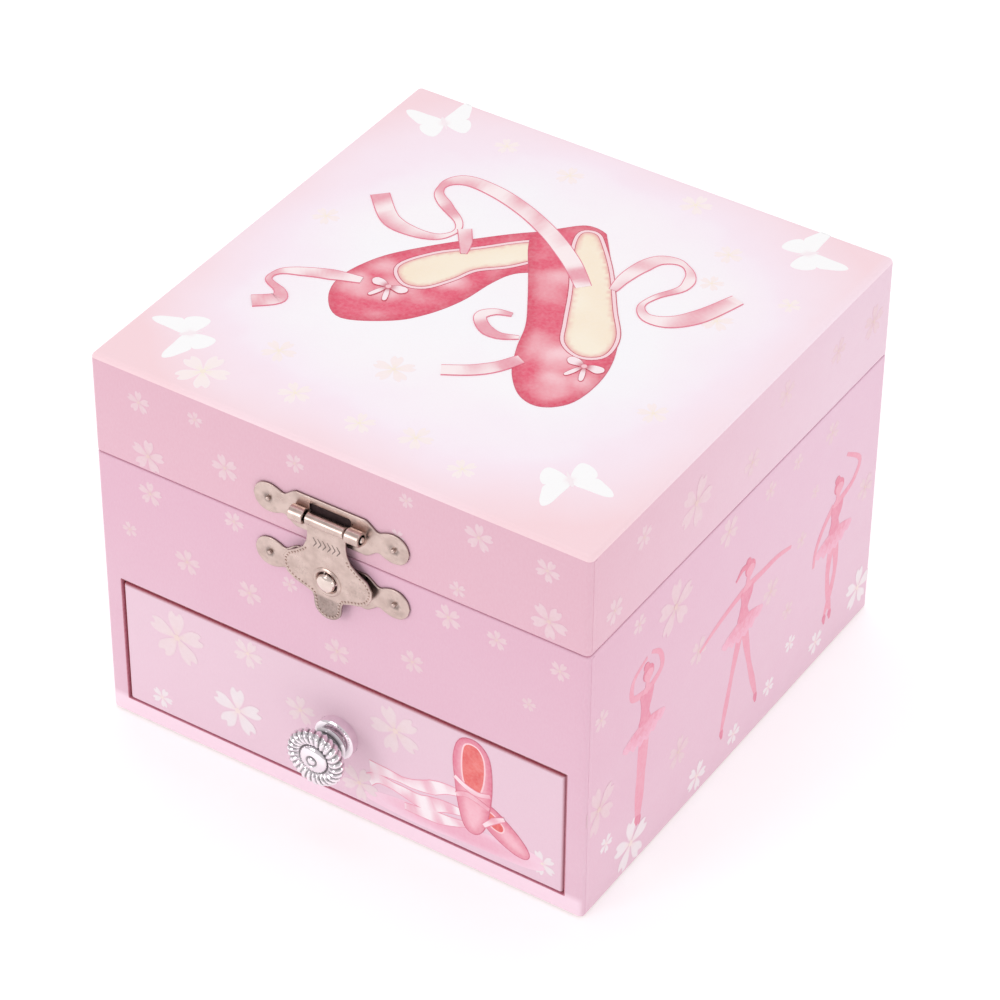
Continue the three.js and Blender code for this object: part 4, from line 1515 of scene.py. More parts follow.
@dataclass(frozen=True)
class Slipper:
    """One printed ballet slipper: its outline, the opening's outline and which way it lights."""

    outer: Outline
    opening: Outline
    glows: Sequence[tuple[float, float, float]]
    lift: float

    def build(self) -> Form:
        """Paints the slipper in layers on the lid's top.

        Returns:
            The print.
        """
        light, deep, dark = linear(253, 205, 212), linear(233, 84, 114), linear(214, 48, 84)
        outer, opening = smooth(self.outer, 6), smooth(self.opening, 6)

        def satin(u: float, v: float) -> Colour:
            """Colour of the satin, dark at its rim and light where it glows."""
            rim = min(math.hypot(u - a, v - b) for a, b in outer)
            glow = max(ease(reach, 0.0, math.hypot(u - a, v - b)) for a, b, reach in self.glows)
            body = mix(deep, light, glow * 0.85 + 1.1 * (wash(u, v, 4.5, 1) - 0.5))
            return mix(body, dark, 0.55 * ease(2.6, 0.2, rim) * (1 - 0.6 * glow))

        def sole(u: float, v: float) -> Colour:
            """Colour of the inner sole."""
            warm = mix(linear(255, 248, 230), linear(250, 228, 200), wash(u, v, 8, 4))
            edge = min(math.hypot(u - a, v - b) for a, b in opening)
            return mix(linear(240, 176, 170), warm, ease(0.0, 1.0, edge))

        layers = ((inset(outer, -0.15), flat_ink(linear(212, 84, 112)), 0.0), (outer, satin, 0.9),
                  (inset(opening, -1.0), flat_ink(linear(200, 60, 88)), 0.0),
                  (inset(opening, -0.82), flat_ink(linear(252, 218, 224)), 0.0),
                  (inset(opening, -0.16), flat_ink(linear(204, 84, 104)), 0.0), (opening, sole, 0.9))
        return layered(TOP, layers, self.lift)


RIGHT_SLIPPER = Slipper(
    ((0, 31), (4, 31), (6, 29), (12, 21), (20, 10), (26, 0), (28.6, -9), (28, -18), (24, -22.5),
     (19, -22), (14, -17), (10.5, -10), (8, -3), (4, 4), (-1, 12), (-5.5, 19), (-7, 23.5), (-4, 27)),
    ((3, 29.5), (0.8, 28), (3, 22), (9, 12), (14, 2), (17, -3.5), (21.5, -5.5), (25, -3), (24, 3),
     (19, 10), (12, 20), (6, 27)),
    ((17.5, -8, 9.5), (22, -15, 7), (5.5, 12.5, 7), (25.5, -12, 6)), 0.075)
LEFT_SLIPPER = Slipper(
    ((-22.5, -20), (-28, -16), (-30, -9), (-27.5, 0), (-22, 8), (-15, 16), (-8, 23), (-2, 27), (2, 24),
     (2, 15), (-3, 10), (-5, 5), (-6.5, -3), (-9.5, -10), (-14, -15.5)),
    ((-19, -4), (-22.5, 0), (-19, 7), (-13, 13), (-7, 19.5), (-3, 22), (-1, 19), (-5, 12), (-10, 7),
     (-12, 2), (-15, -3)),
    ((-19, -7, 7), (-26, -9, 6), (-12, 0.5, 5), (-25, -2, 5)), 0.02)
RIBBONS = (
    (((10.4, 13.4), (7, 16.6), (3.2, 19.8), (-3.6, 24.4), (-11.6, 28.4), (-20, 31), (-27.4, 31.4),
      (-30.6, 28.6), (-30, 24.6), (-26, 21.5), (-21.5, 18.6), (-20, 15.5), (-22, 12), (-27, 10.8),
      (-33, 12), (-39.5, 18)),
     (3.0, 3.4, 3.6, 3.4, 3.4, 3.0, 1.2, 2.4, 1.4, 0.8, 2.2, 3.6, 3.6)),
    (((15.6, 15.6), (15.4, 20), (16.2, 25), (18, 29), (21.8, 30.4), (25.4, 28), (26.4, 23.5), (23.6, 18.4),
      (22.8, 14.2), (25.6, 11.6), (30, 12.8), (33.8, 17.6), (37, 26)),
     (1.4, 2.6, 3.2, 2.4, 1.0, 2.2, 1.2, 0.9, 1.8, 3.2, 3.8, 3.0)),
    (((-26, -8), (-31, -9.4), (-36, -11.4), (-40.4, -14), (-41, -17.4), (-37, -19.4), (-36, -21.8),
      (-39.5, -25)), (1.8, 3.0, 2.4, 0.8, 1.4, 3.2, 3.4)),
    (((13, -12.5), (10.5, -17), (7, -20.5), (2.4, -23.4)), (2.4, 3.0, 2.8)),
    (((9, -7), (5.4, -8.6), (2, -8), (-0.8, -5.2), (0.8, -2.6), (4, -1.6)), (0.8, 2.4, 2.2, 0.8)),
    (((-19, 17), (-16.4, 13.4), (-14.6, 10)), (2.6, 2.4, 1.0)))
WING = ((0.0, -0.2), (2.6, 0.1), (5.0, 0.7), (6.0, 2.6), (6.8, 4.9), (6.6, 6.5), (5.0, 6.1), (2.6, 3.9),
        (0.3, 1.7))
HIND_WING = ((0.0, 0.5), (0.5, -1.6), (1.9, -3.7), (3.2, -4.5), (4.5, -3.5), (5.3, -1.5), (4.9, 0.3),
             (2.6, 0.5))
BUTTERFLIES = ((-43, 46, 135), (40.5, 46.6, 45), (-43, -39.7, 225), (39.8, -38, 315))


def bow(u: float, v: float, scale: float) -> Form:
    """Small printed satin bow on a slipper's throat.

    Args:
        u: Place of its knot across.
        v: Place of its knot upwards.
        scale: Its size.

    Returns:
        The bow.
    """
    light, shade = linear(255, 236, 240), linear(206, 84, 108)
    loop = ((0, 0), (1.5, 1.3), (3.5, 1.5), (4.1, 0.4), (3.1, -0.7), (1.4, -0.5))
    tail = ((0.1, 0), (1.3, -1.7), (2.1, -4.0), (1.4, -4.3), (0.4, -2.2))
    form = Form()
    for sign in (-1, 1):
        for outline in (loop, tail):
            side = [(x * sign, y) for x, y in (outline if sign > 0 else outline[::-1])]
            placed = moved(smooth(side, 4), u, v, scale)
            lift = 0.19 + len(form.points) * 1e-5
            form.add(print_patch(TOP, inset(placed, -0.12), flat_ink(shade), lift))
            form.add(print_patch(TOP, placed, lambda a, b: mix(
                shade, light, ease(0.3, 2.4 * scale, math.hypot(a - u, b - v))), lift + 0.01, 0.6))
    knot = circle(0.6 * scale, 12, u, v)
    return form.add(print_patch(TOP, knot, flat_ink(linear(250, 196, 205)), 0.23))


def butterfly() -> Form:
    """White print of a butterfly, head up, about ten millimetres across.

    Returns:
        The print, flat on its own board.
    """
    white = linear(255, 255, 255)
    vein = linear(252, 238, 242)
    form = Form()
    for sign in (-1, 1):
        for outline in (WING, HIND_WING):
            side = [(x * sign + 0.12 * sign, y) for x, y in (outline if sign > 0 else outline[::-1])]
            lift = 0.04 + 0.008 * (outline is WING)
            form.add(slab([smooth(side, 5)], -0.02, lift, 0.8, paint=lambda u, v: mix(
                vein, white, ease(0.2, 1.6, math.hypot(u, v)))))
    body = smooth(((0, 2.3), (0.42, 1.5), (0.34, -0.4), (0, -2.6), (-0.34, -0.4), (-0.42, 1.5)), 5)
    form.add(slab([body], -0.02, 0.075, paint=flat_ink(linear(252, 240, 244))))
    return form


@dataclass
class TopArt:
    """Printed slippers, ribbons and butterflies on the lid's top."""

    def build(self) -> None:
        """Builds the pieces."""
        art = LEFT_SLIPPER.build()
        art.add(RIGHT_SLIPPER.build())
        settle(art.build("lid_slippers_print", Finish.INK), *LID_PART)
        light, shade = linear(255, 240, 241), linear(234, 132, 154)
        ribbons = Form()
        for path, widths in RIBBONS:
            lift = 0.13 + 0.002 * len(ribbons.points) / 100
            ribbons.add(satin_stroke(TOP, path, widths, light, shade, lift, 6))
        ribbons.add(bow(24, -8, 0.95))
        ribbons.add(bow(-20.5, -7, 0.95))
        settle(ribbons.build("lid_ribbons_print", Finish.INK), *LID_PART)
        item = butterfly().build("butterfly", Finish.INK)
        spots = [Spot(u, v, 0.96, turn - 90) for u, v, turn in BUTTERFLIES]
        print_ = Repeat(item, seed=3).over("lid_butterflies_print", spots_on(TOP, spots), Finish.INK)
        edge = CASE_HALF - 0.5
        cut_back(print_.data, TOP, (-edge, -edge, 0), (edge, edge, BOX_TOP + 1))
        settle(print_, *LID_PART)


# --- the pointe shoes on the drawer


@dataclass
class DrawerArt:
    """Printed pointe shoes and ribbons on the drawer front."""

    panel: Panel = field(default_factory=lambda: Panel(Y * (DRAWER_LOW.y - PAPER), X, Z))

    def build(self) -> None:
        """Builds the piece."""
        form = self.shadow()
        form.add(self.ribbons())
        form.add(self.lying_shoe(0.045))
        form.add(self.standing_shoe(0.085))
        form.add(self.ties())
        settle(form.build("drawer_shoes_print", Finish.INK), *DRAWER_PART)

    def shadow(self) -> Form:
        """Soft pink pool under the shoes.

        Returns:
            The print.
        """
        ground = linear(247, 208, 225)
        pool = smooth(((6, 6.2), (18, 5.2), (30, 6), (43, 6.6), (47, 9), (43, 11.2), (30, 10.4), (16, 9.8),
                       (8, 8.6)), 5)

        def fade(u: float, v: float) -> Colour:
            """Colour of the pool, which fades outwards."""
            reach = ((u - 27) / 20) ** 2 + ((v - 8.2) / 3) ** 2
            return mix(linear(240, 176, 198), ground, ease(0.0, 1.0, reach))

        return print_patch(self.panel, pool, fade, 0.02, 0.9)

    def shoe(self, outline: Outline, mouth: Outline, toe: Flat, lift: float) -> Form:
        """One shoe from its outline, the mouth's outline and the middle of its toe.

        Args:
            outline: Outline of the shoe.
            mouth: Outline of its mouth.
            toe: Middle of its toe.
            lift: Height over the paper.

        Returns:
            The print.
        """
        light, deep = linear(247, 186, 200), linear(228, 124, 150)
        outer = smooth(outline, 5)

        def satin(u: float, v: float) -> Colour:
            """Colour of the shoe, lightest on its toe."""
            edge = min(math.hypot(u - a, v - b) for a, b in outer)
            toe_glow = ease(6, 1, math.hypot(u - toe[0], v - toe[1]))
            return mix(deep, light, ease(0.2, 2.2, edge) * 0.8 + toe_glow * 0.3)

        hollow = washed_ink(linear(226, 72, 74), linear(242, 128, 122), 3)
        layers = ((inset(outer, -0.22), flat_ink(linear(214, 104, 132)), 0.0), (outer, satin, 0.7),
                  (inset(smooth(mouth, 5), -0.35), flat_ink(linear(252, 206, 214)), 0.0),
                  (smooth(mouth, 5), hollow, 0.7))
        return layered(self.panel, layers, lift)

    def standing_shoe(self, lift: float) -> Form:
        """The shoe that stands on its toe.

        Args:
            lift: Height over the paper.

        Returns:
            The print.
        """
        return self.shoe(((27.6, 31.6), (31, 32.6), (33.8, 30), (34.6, 24), (34.2, 17), (33, 11.6),
                          (31, 9.4), (28.8, 10.4), (27.4, 15), (26.6, 21), (26.2, 27)),
                         ((28.6, 30.4), (31.2, 31.2), (32.8, 28.6), (32.8, 23.4), (31.6, 19.6),
                          (29.4, 19.8), (28.2, 24)), (31, 12.4), lift)

    def lying_shoe(self, lift: float) -> Form:
        """The shoe that leans against it.

        Args:
            lift: Height over the paper.

        Returns:
            The print.
        """
        return self.shoe(((32, 17.6), (34.4, 18), (38, 15.8), (41.2, 13), (43, 10.4), (42.4, 8.8),
                          (40, 8.8), (36.4, 10.4), (33.2, 12.8), (31.6, 15.2)),
                         ((33, 16.6), (35, 16.2), (37.2, 14.2), (36.8, 12.8), (34.8, 13.2),
                          (33, 15)), (41, 10.4), lift)

    def ribbons(self) -> Form:
        """Loose satin ribbons to the left of the shoes.

        Returns:
            The print.
        """
        light, shade = linear(252, 240, 244), linear(236, 160, 184)
        form = Form()
        for path, widths in (
                (((28, 18), (24, 17.4), (20, 15.8), (16, 14.8), (11, 14.8), (7, 14.6)), (0.8, 2.2, 1.0, 2.0)),
                (((29, 13.4), (24, 12.8), (19, 11.4), (14, 12), (9, 12.4), (6.6, 11)), (0.8, 2.4, 1.2, 1.8)),
                (((30, 11), (25, 9.6), (20, 8.8), (15, 8.4)), (0.6, 1.9, 1.0))):
            wide = [1.5 * w for w in widths]
            lift = 0.022 + len(form.points) * 1e-5
            form.add(satin_stroke(self.panel, path, wide, light, shade, lift, 3))
        return form

    def ties(self) -> Form:
        """Ribbon crossings over the shoes.

        Returns:
            The print.
        """
        light, shade = linear(253, 226, 233), linear(236, 150, 172)
        form = Form()
        for path in (((26.4, 22), (29, 20.4), (31.6, 19.8), (34.4, 20.6)),
                     ((26.8, 17.6), (29.6, 18.6), (34.2, 17.2)), ((33, 12.6), (35.4, 15), (37.6, 16.4))):
            lift = 0.125 + len(form.points) * 1e-4
            form.add(satin_stroke(self.panel, path, (0.8, 1.2, 0.8), light, shade, lift, 4))
        return form


# --- the printed dancers on the sides


@dataclass(frozen=True)
class PrintedDancer:
    """One printed dancer: feet, head, limbs and tutu in the panel's millimetres."""

    head: Flat
    neck: Flat
    waist: Flat
    hem: float
    legs: Sequence[Outline]
    arms: Sequence[Outline]
    tail: bool = False


DANCERS = (
    PrintedDancer((-33.6, 45.4), (-33.9, 42.6), (-34.4, 35.6), 7.4,
                  (((-34.8, 31), (-35.8, 22), (-36.1, 11.4)), ((-33.8, 31), (-34.2, 21.6), (-35.2, 11.2))),
                  (((-35.2, 41.6), (-39.2, 43.2), (-38.8, 47.4), (-34.2, 49.8)),
                   ((-32.6, 41.6), (-28.8, 43.8), (-29.6, 47.8), (-32.6, 50)))),
    PrintedDancer((3.6, 44.8), (2.8, 41.8), (1.8, 35.2), 7.6,
                  (((1.2, 31), (-1.6, 21), (-4.4, 9.6)), ((2.6, 31), (5.2, 20.4), (8.6, 9.8))),
                  (((1.4, 40.8), (-3.6, 40), (-9.4, 38.6), (-14.6, 36.8)),
                   ((3.9, 40.8), (9, 40.6), (14.6, 40.4), (19.8, 39.2))), True),
    PrintedDancer((38.5, 41.6), (38.2, 38.8), (37.6, 32.8), 7.2,
                  (((37.2, 29), (36.2, 20), (38.2, 10.4)), ((38.4, 29), (39.2, 20), (36, 10.4))),
                  (((39.6, 38), (44.4, 39.6), (46.6, 43.6), (41, 48.2)),
                   ((36.8, 38), (33, 35), (30.4, 31), (29.8, 26.8)))))


@dataclass
class DancerArt:
    """Three printed dancers on each side of the case."""

    skin: Colour = linear(238, 164, 184)
    pink: Colour = linear(236, 150, 174)
    rose: Colour = linear(228, 130, 158)
    veil: Colour = linear(240, 178, 200)

    def build(self) -> None:
        """Builds both sides."""
        for name, panel in (("right", RIGHT), ("left", LEFT)):
            form = Form()
            for dancer in DANCERS:
                form.add(self.figure(panel, dancer))
            settle(form.build(f"case_{name}_dancers_print", Finish.INK), *CASE_PART)

    def figure(self, panel: Panel, dancer: PrintedDancer) -> Form:
        """One dancer in layers: tutu, limbs, bodice, head and hair.

        Args:
            panel: Side of the case.
            dancer: The dancer to print.

        Returns:
            The print.
        """
        form = Form()
        for k, leg in enumerate(dancer.legs):
            paint = washed_ink(self.pink, self.skin, 6)
            form.add(brush(panel, leg, (2.6, 2.3, 1.5, 1.9, 1.0), paint, 0.012 + 0.004 * k))
            foot = leg[-1]
            shoe = (foot, (foot[0], foot[1] - 0.9), (foot[0] + 0.2, foot[1] - 2.4))
            form.add(brush(panel, shoe, (1.1, 1.5, 0.5), flat_ink(self.rose), 0.021 + 0.004 * k, 4))
        for k, arm in enumerate(dancer.arms):
            paint = washed_ink(self.skin, self.pink, 5)
            form.add(brush(panel, arm, (1.9, 1.5, 1.4, 1.1, 0.8), paint, 0.03 + 0.004 * k))
        form.add(self.skirt(panel, dancer))
        form.add(self.bodice(panel, dancer))
        form.add(brush(panel, (dancer.neck, dancer.head), (1.4, 1.4), flat_ink(self.skin), 0.062, 2))
        form.add(self.face(panel, dancer))
        return form

    def skirt(self, panel: Panel, dancer: PrintedDancer) -> Form:
        """Soft tutu of three scalloped layers, each with pale rays.

        Args:
            panel: Side of the case.
            dancer: The dancer to print.

        Returns:
            The tutu.
        """
        wu, wv = dancer.waist
        form = Form()
        for layer, (reach, drop, colour) in enumerate((
                (1.0, 5.0, self.veil), (0.86, 4.0, mix(self.veil, self.pink, 0.45)),
                (0.66, 2.8, mix(self.pink, self.rose, 0.25)))):
            outline = [(wu, wv - 1.2)]
            for k in range(13):
                share = k / 12 * 2 - 1
                wave = 0.45 * math.cos(k * math.pi)
                outline.append((wu + share * dancer.hem * reach,
                                wv - 1.4 - drop * math.sqrt(max(1 - 0.82 * share * share, 0.0)) + wave))
            outline = smooth([outline[0], *outline[:0:-1]], 3)

            def gauze(u: float, v: float, base: Colour = colour) -> Colour:
                """Colour of this layer with its rays."""
                ray = math.sin(math.atan2(v - wv, u - wu) * 34)
                return mix(base, self.veil, 0.35 + 0.3 * ray)

            form.add(print_patch(panel, outline, gauze, 0.038 + 0.004 * layer, 0.8))
        return form

    def bodice(self, panel: Panel, dancer: PrintedDancer) -> Form:
        """Fitted bodice from the shoulders to the waist.

        Args:
            panel: Side of the case.
            dancer: The dancer to print.

        Returns:
            The bodice.
        """
        (nu, nv), (wu, wv) = dancer.neck, dancer.waist
        outline = smooth(((nu - 2.3, nv - 1.2), (nu, nv - 1.7), (nu + 2.3, nv - 1.2), (nu + 2.0, nv - 3.6),
                          (wu + 1.5, wv + 0.6), (wu + 2.1, wv - 1.4), (wu, wv - 2.2), (wu - 2.1, wv - 1.4),
                          (wu - 1.5, wv + 0.6), (nu - 2.0, nv - 3.6)), 3)
        form = print_patch(panel, circle(1.9, 14, nu, nv - 1.6), flat_ink(self.skin), 0.054)
        return form.add(print_patch(panel, outline, washed_ink(self.rose, self.pink, 3), 0.058, 0.8))

    def face(self, panel: Panel, dancer: PrintedDancer) -> Form:
        """Plain profile of a head with pinned-up hair.

        Args:
            panel: Side of the case.
            dancer: The dancer to print.

        Returns:
            The head.
        """
        hu, hv = dancer.head
        hair = linear(230, 132, 158)
        profile = ((hu - 1.4, hv + 0.3), (hu, hv + 1.1), (hu + 1.45, hv + 0.4), (hu + 1.3, hv - 1.0),
                   (hu, hv - 2.0), (hu - 1.2, hv - 1.0))
        form = print_patch(panel, circle(1.9, 16, hu, hv + 0.25), flat_ink(hair), 0.066)
        form.add(print_patch(panel, smooth(profile, 3), flat_ink(self.skin), 0.074))
        form.add(print_patch(panel, circle(1.0, 12, hu - 0.8, hv + 2.2), flat_ink(hair), 0.07))
        if dancer.tail:
            form.add(brush(panel, ((hu - 0.8, hv + 1.2), (hu - 3, hv + 1.8), (hu - 5.4, hv + 0.2)),
                           (1.2, 1.3, 0.4), flat_ink(hair), 0.078, 4))
        return form


# --- wrapped boards


def box_loop(offset: float, height: float, half: float = CASE_HALF) -> Loop:
    """Level loop round the box, set in from its faces."""
    return [Vector((u, v, height)) for u, v in rounded_rect(half - offset, half - offset,
                                                             max(EDGE - offset, 0.06), 6)]


def rim_round(turn: float, rim: float, up: int) -> list[Loop]:
    """Loops over a wall's paper-wrapped rim, from the outer face to the inner one.

    Args:
        turn: Depth of the rim from the outer face.
        rim: Height of the rim.
        up: 1 if the rim faces up, -1 if it faces down.

    Returns:
        The loops.
    """
    bead = 0.32
    loops = []
    for k in range(5):
        angle = k / 4 * TURN / 4
        loops.append(box_loop(bead * (1 - math.cos(angle)), rim - up * bead * (1 - math.sin(angle))))
    inner = [box_loop(turn - bead * (1 - math.cos(a)), rim - up * bead * (1 - math.sin(a)))
             for a in (TURN / 4, TURN / 6, TURN / 12, 0)]
    return loops + inner


@dataclass
class Wrapping:
    """Printed paper round the case, the lid and the drawer front, and the opening's edges in painted shade.
    """

    turn_in: float = 6.0

    def build(self) -> None:
        """Builds every wrapped piece."""
        self.case()
        self.lid()
        self.drawer()
        self.overlaps()

    def case(self) -> None:
        """Case wrap with its drawer opening cut through."""
        inner = WALL + 0.05
        loops = [box_loop(0.35, 0.0), box_loop(0.1, 0.12), box_loop(0.0, 0.4), box_loop(0.0, 20.0),
                 *rim_round(inner, CASE_RIM, 1), box_loop(inner, CASE_RIM - self.turn_in),
                 box_loop(inner - 0.27, CASE_RIM - self.turn_in), box_loop(inner - 0.27, CASE_RIM - 0.6),
                 box_loop(0.3, CASE_RIM - 0.6), box_loop(0.4, 0.25)]
        wrap = loft(loops, ring=True).build("case_wrap", Finish.CASE_PAPER)
        reach = INSIDE + 0.05
        tool = block((-reach, -CASE_HALF - 5, OPENING_LOW + 0.05),
                     (reach, -INSIDE - 0.5, OPENING_HIGH - 0.05))
        wrap = carved(wrap, tool)
        tidy_mesh(wrap.data, 32)
        settle(wrap, *CASE_PART)
        self.opening(reach)

    def opening(self, reach: float) -> None:
        """Edge and reveal of the drawer opening in painted shade, reach to each side of its middle.

        Args:
            reach: Half the opening's width.
        """
        middle = (OPENING_LOW + OPENING_HIGH) / 2
        half = (OPENING_HIGH - OPENING_LOW) / 2

        def sleeve(stations: Outline) -> Form:
            """Ring through the opening from its growth and depth pairs."""
            return loft([[Vector((u, y, middle + v))
                          for u, v in rounded_rect(reach + grown, half - 0.05 + grown, 0.3)]
                         for grown, y in stations], ring=True)

        stations = ((0.05, -CASE_HALF - 0.02), (0.0, -CASE_HALF - 0.06), (-0.14, -CASE_HALF),
                    (-0.18, -CASE_HALF + 0.4), (-0.18, -INSIDE), (0.07, -INSIDE), (0.07, -CASE_HALF + 0.1))
        lining = sleeve(stations)
        # Painted shade: darkest along the top, lighter down the sides, palest on the sill.
        top, side, sill = linear(138, 44, 60), linear(196, 112, 132), linear(224, 166, 186)
        for point in lining.points:
            over = ease(half - 0.5, half - 0.2, point.z - middle)
            under = ease(0.2 - half, -half, point.z - middle)
            lining.inks.append(mix(mix(side, top, over), sill, under))
        settle(lining.build("drawer_opening_edge", Finish.INK), *CASE_PART)
        # The reveal inside is dark red painted shade.
        stations = ((-0.17, 0.6 - CASE_HALF), (-0.3, 0.7 - CASE_HALF), (-0.3, -INSIDE), (-0.17, -INSIDE))
        settle(sleeve(stations).build("drawer_reveal", Finish.REVEAL), *CASE_PART)

    def lid(self) -> None:
        """Lid wrap: four sides, and the top as its own print."""
        inner = WALL + 0.05
        loops = [box_loop(EDGE, BOX_TOP - 0.02)]
        for k in range(7):
            angle = k / 6 * TURN / 4
            drop = EDGE * (1 - math.cos(angle))
            loops.append(box_loop(EDGE * (1 - math.sin(angle)), BOX_TOP - 0.02 - drop))
        loops += [*rim_round(inner, LID_RIM, -1), box_loop(inner, LID_RIM + self.turn_in),
                  box_loop(inner - 0.27, LID_RIM + self.turn_in), box_loop(inner - 0.27, LID_RIM + 0.6),
                  box_loop(0.3, LID_RIM + 0.6), box_loop(0.3, BOX_TOP - 2), box_loop(EDGE, BOX_TOP - 0.2)]
        settle(loft(loops, ring=True).build("lid_wrap", Finish.LID_PAPER), *LID_PART)
        loops = []
        for k in range(9):
            angle = k / 8 * TURN / 4.6
            loops.append(box_loop(EDGE * (1 - math.sin(angle)) - 0.02,
                                  BOX_TOP - EDGE * (1 - math.cos(angle))))
        under = [Vector((p.x, p.y, BOX_TOP - 0.25)) for p in loops[0]]
        shell = loft([under, *reversed(loops[1:]), loops[0]])
        settle(shell.build("lid_top_wrap", Finish.LID_TOP_PAPER), *LID_PART)

    def drawer(self) -> None:
        """Wrapped drawer front with rounded board edges, and painted shade along its top and sides."""
        low, high = DRAWER_LOW, DRAWER_HIGH
        front = bar((low.x - PAPER, low.y - PAPER, low.z - 0.2),
                    (high.x + PAPER, high.y + 0.1, high.z + 0.2), 0.7)
        # Painted shade: the paper darkens to the rim colour along the top edge, and half as much along the
        # sides, for the gap round the drawer.
        for point in front.points:
            over = ease(high.z - 0.45, high.z + 0.12, point.z)
            side_gap_shade = ease(high.x - 0.25, high.x + 0.2, abs(point.x))
            front.inks.append((1 - max(over, 0.5 * side_gap_shade),) * 3)
        piece = front.build("drawer_front_wrap", Finish.DRAWER_PAPER)
        settle(piece, *DRAWER_PART, "drawer_front")

    def overlaps(self) -> None:
        """Where the paper's end laps over itself near each back corner."""
        place = -CASE_HALF + 1.5
        for name, body, slot, low, high in (
                ("case_paper_overlap", *CASE_PART, 0.4, CASE_RIM - 0.5),
                ("lid_paper_overlap", *LID_PART, LID_RIM + 0.5, BOX_TOP - EDGE)):
            form = Form()
            for sign in (1, -1):
                form.add(bar((sign * CASE_HALF - 0.08, place * sign - 0.5, low),
                             (sign * CASE_HALF + 0.08, place * sign + 0.5, high), 0.07))
            finish = Finish.CASE_PAPER if body == "case" else Finish.LID_PAPER
            settle(form.build(name, finish), body, slot)


# --- catch and knob


def nail_head(radius: float = 0.95) -> Form:
    """Small domed nail head."""
    return lathe(((0, -0.1), (radius, -0.1), (radius, 0.12), (radius * 0.8, 0.38), (radius * 0.4, 0.5),
                  (0, 0.53)), 20)


def front_of(form: Form, x: float, y: float, z: float) -> Form:
    """Form made flat in x and height, set upright facing the front."""
    turn = Matrix(((1, 0, 0, x), (0, 0, -1, y), (0, 1, 0, z), (0, 0, 0, 1)))
    return form.placed(turn)


def rolled_loop(radius: float, bore: float, x_low: float, x_high: float, y: float, z: float) -> Form:
    """Rolled barrel section along X with rounded ends and an open bore.

    Args:
        radius: Outer radius.
        bore: Radius of the bore.
        x_low: Left end.
        x_high: Right end.
        y: Depth of its axis.
        z: Height of its axis.

    Returns:
        The loop.
    """
    ends = ((x_low, 0.15), (x_low + 0.15, 0.0), (x_high - 0.15, 0.0), (x_high, 0.15))
    profile = [(radius - back, x) for x, back in ends] + [(bore, x) for x, back in reversed(ends)]
    turned = lathe(profile, 28, ring=True)
    # Painted shade inside the bore.
    turned.inks = [painted_shade(-0.13 if math.hypot(p.x, p.y) < bore + 0.02 else 0.0) for p in turned.points]
    return turned.placed(Matrix.Translation((0, y, z)) @ Matrix.Rotation(TURN / 4, 4, "Y"))


EAR = 14.0


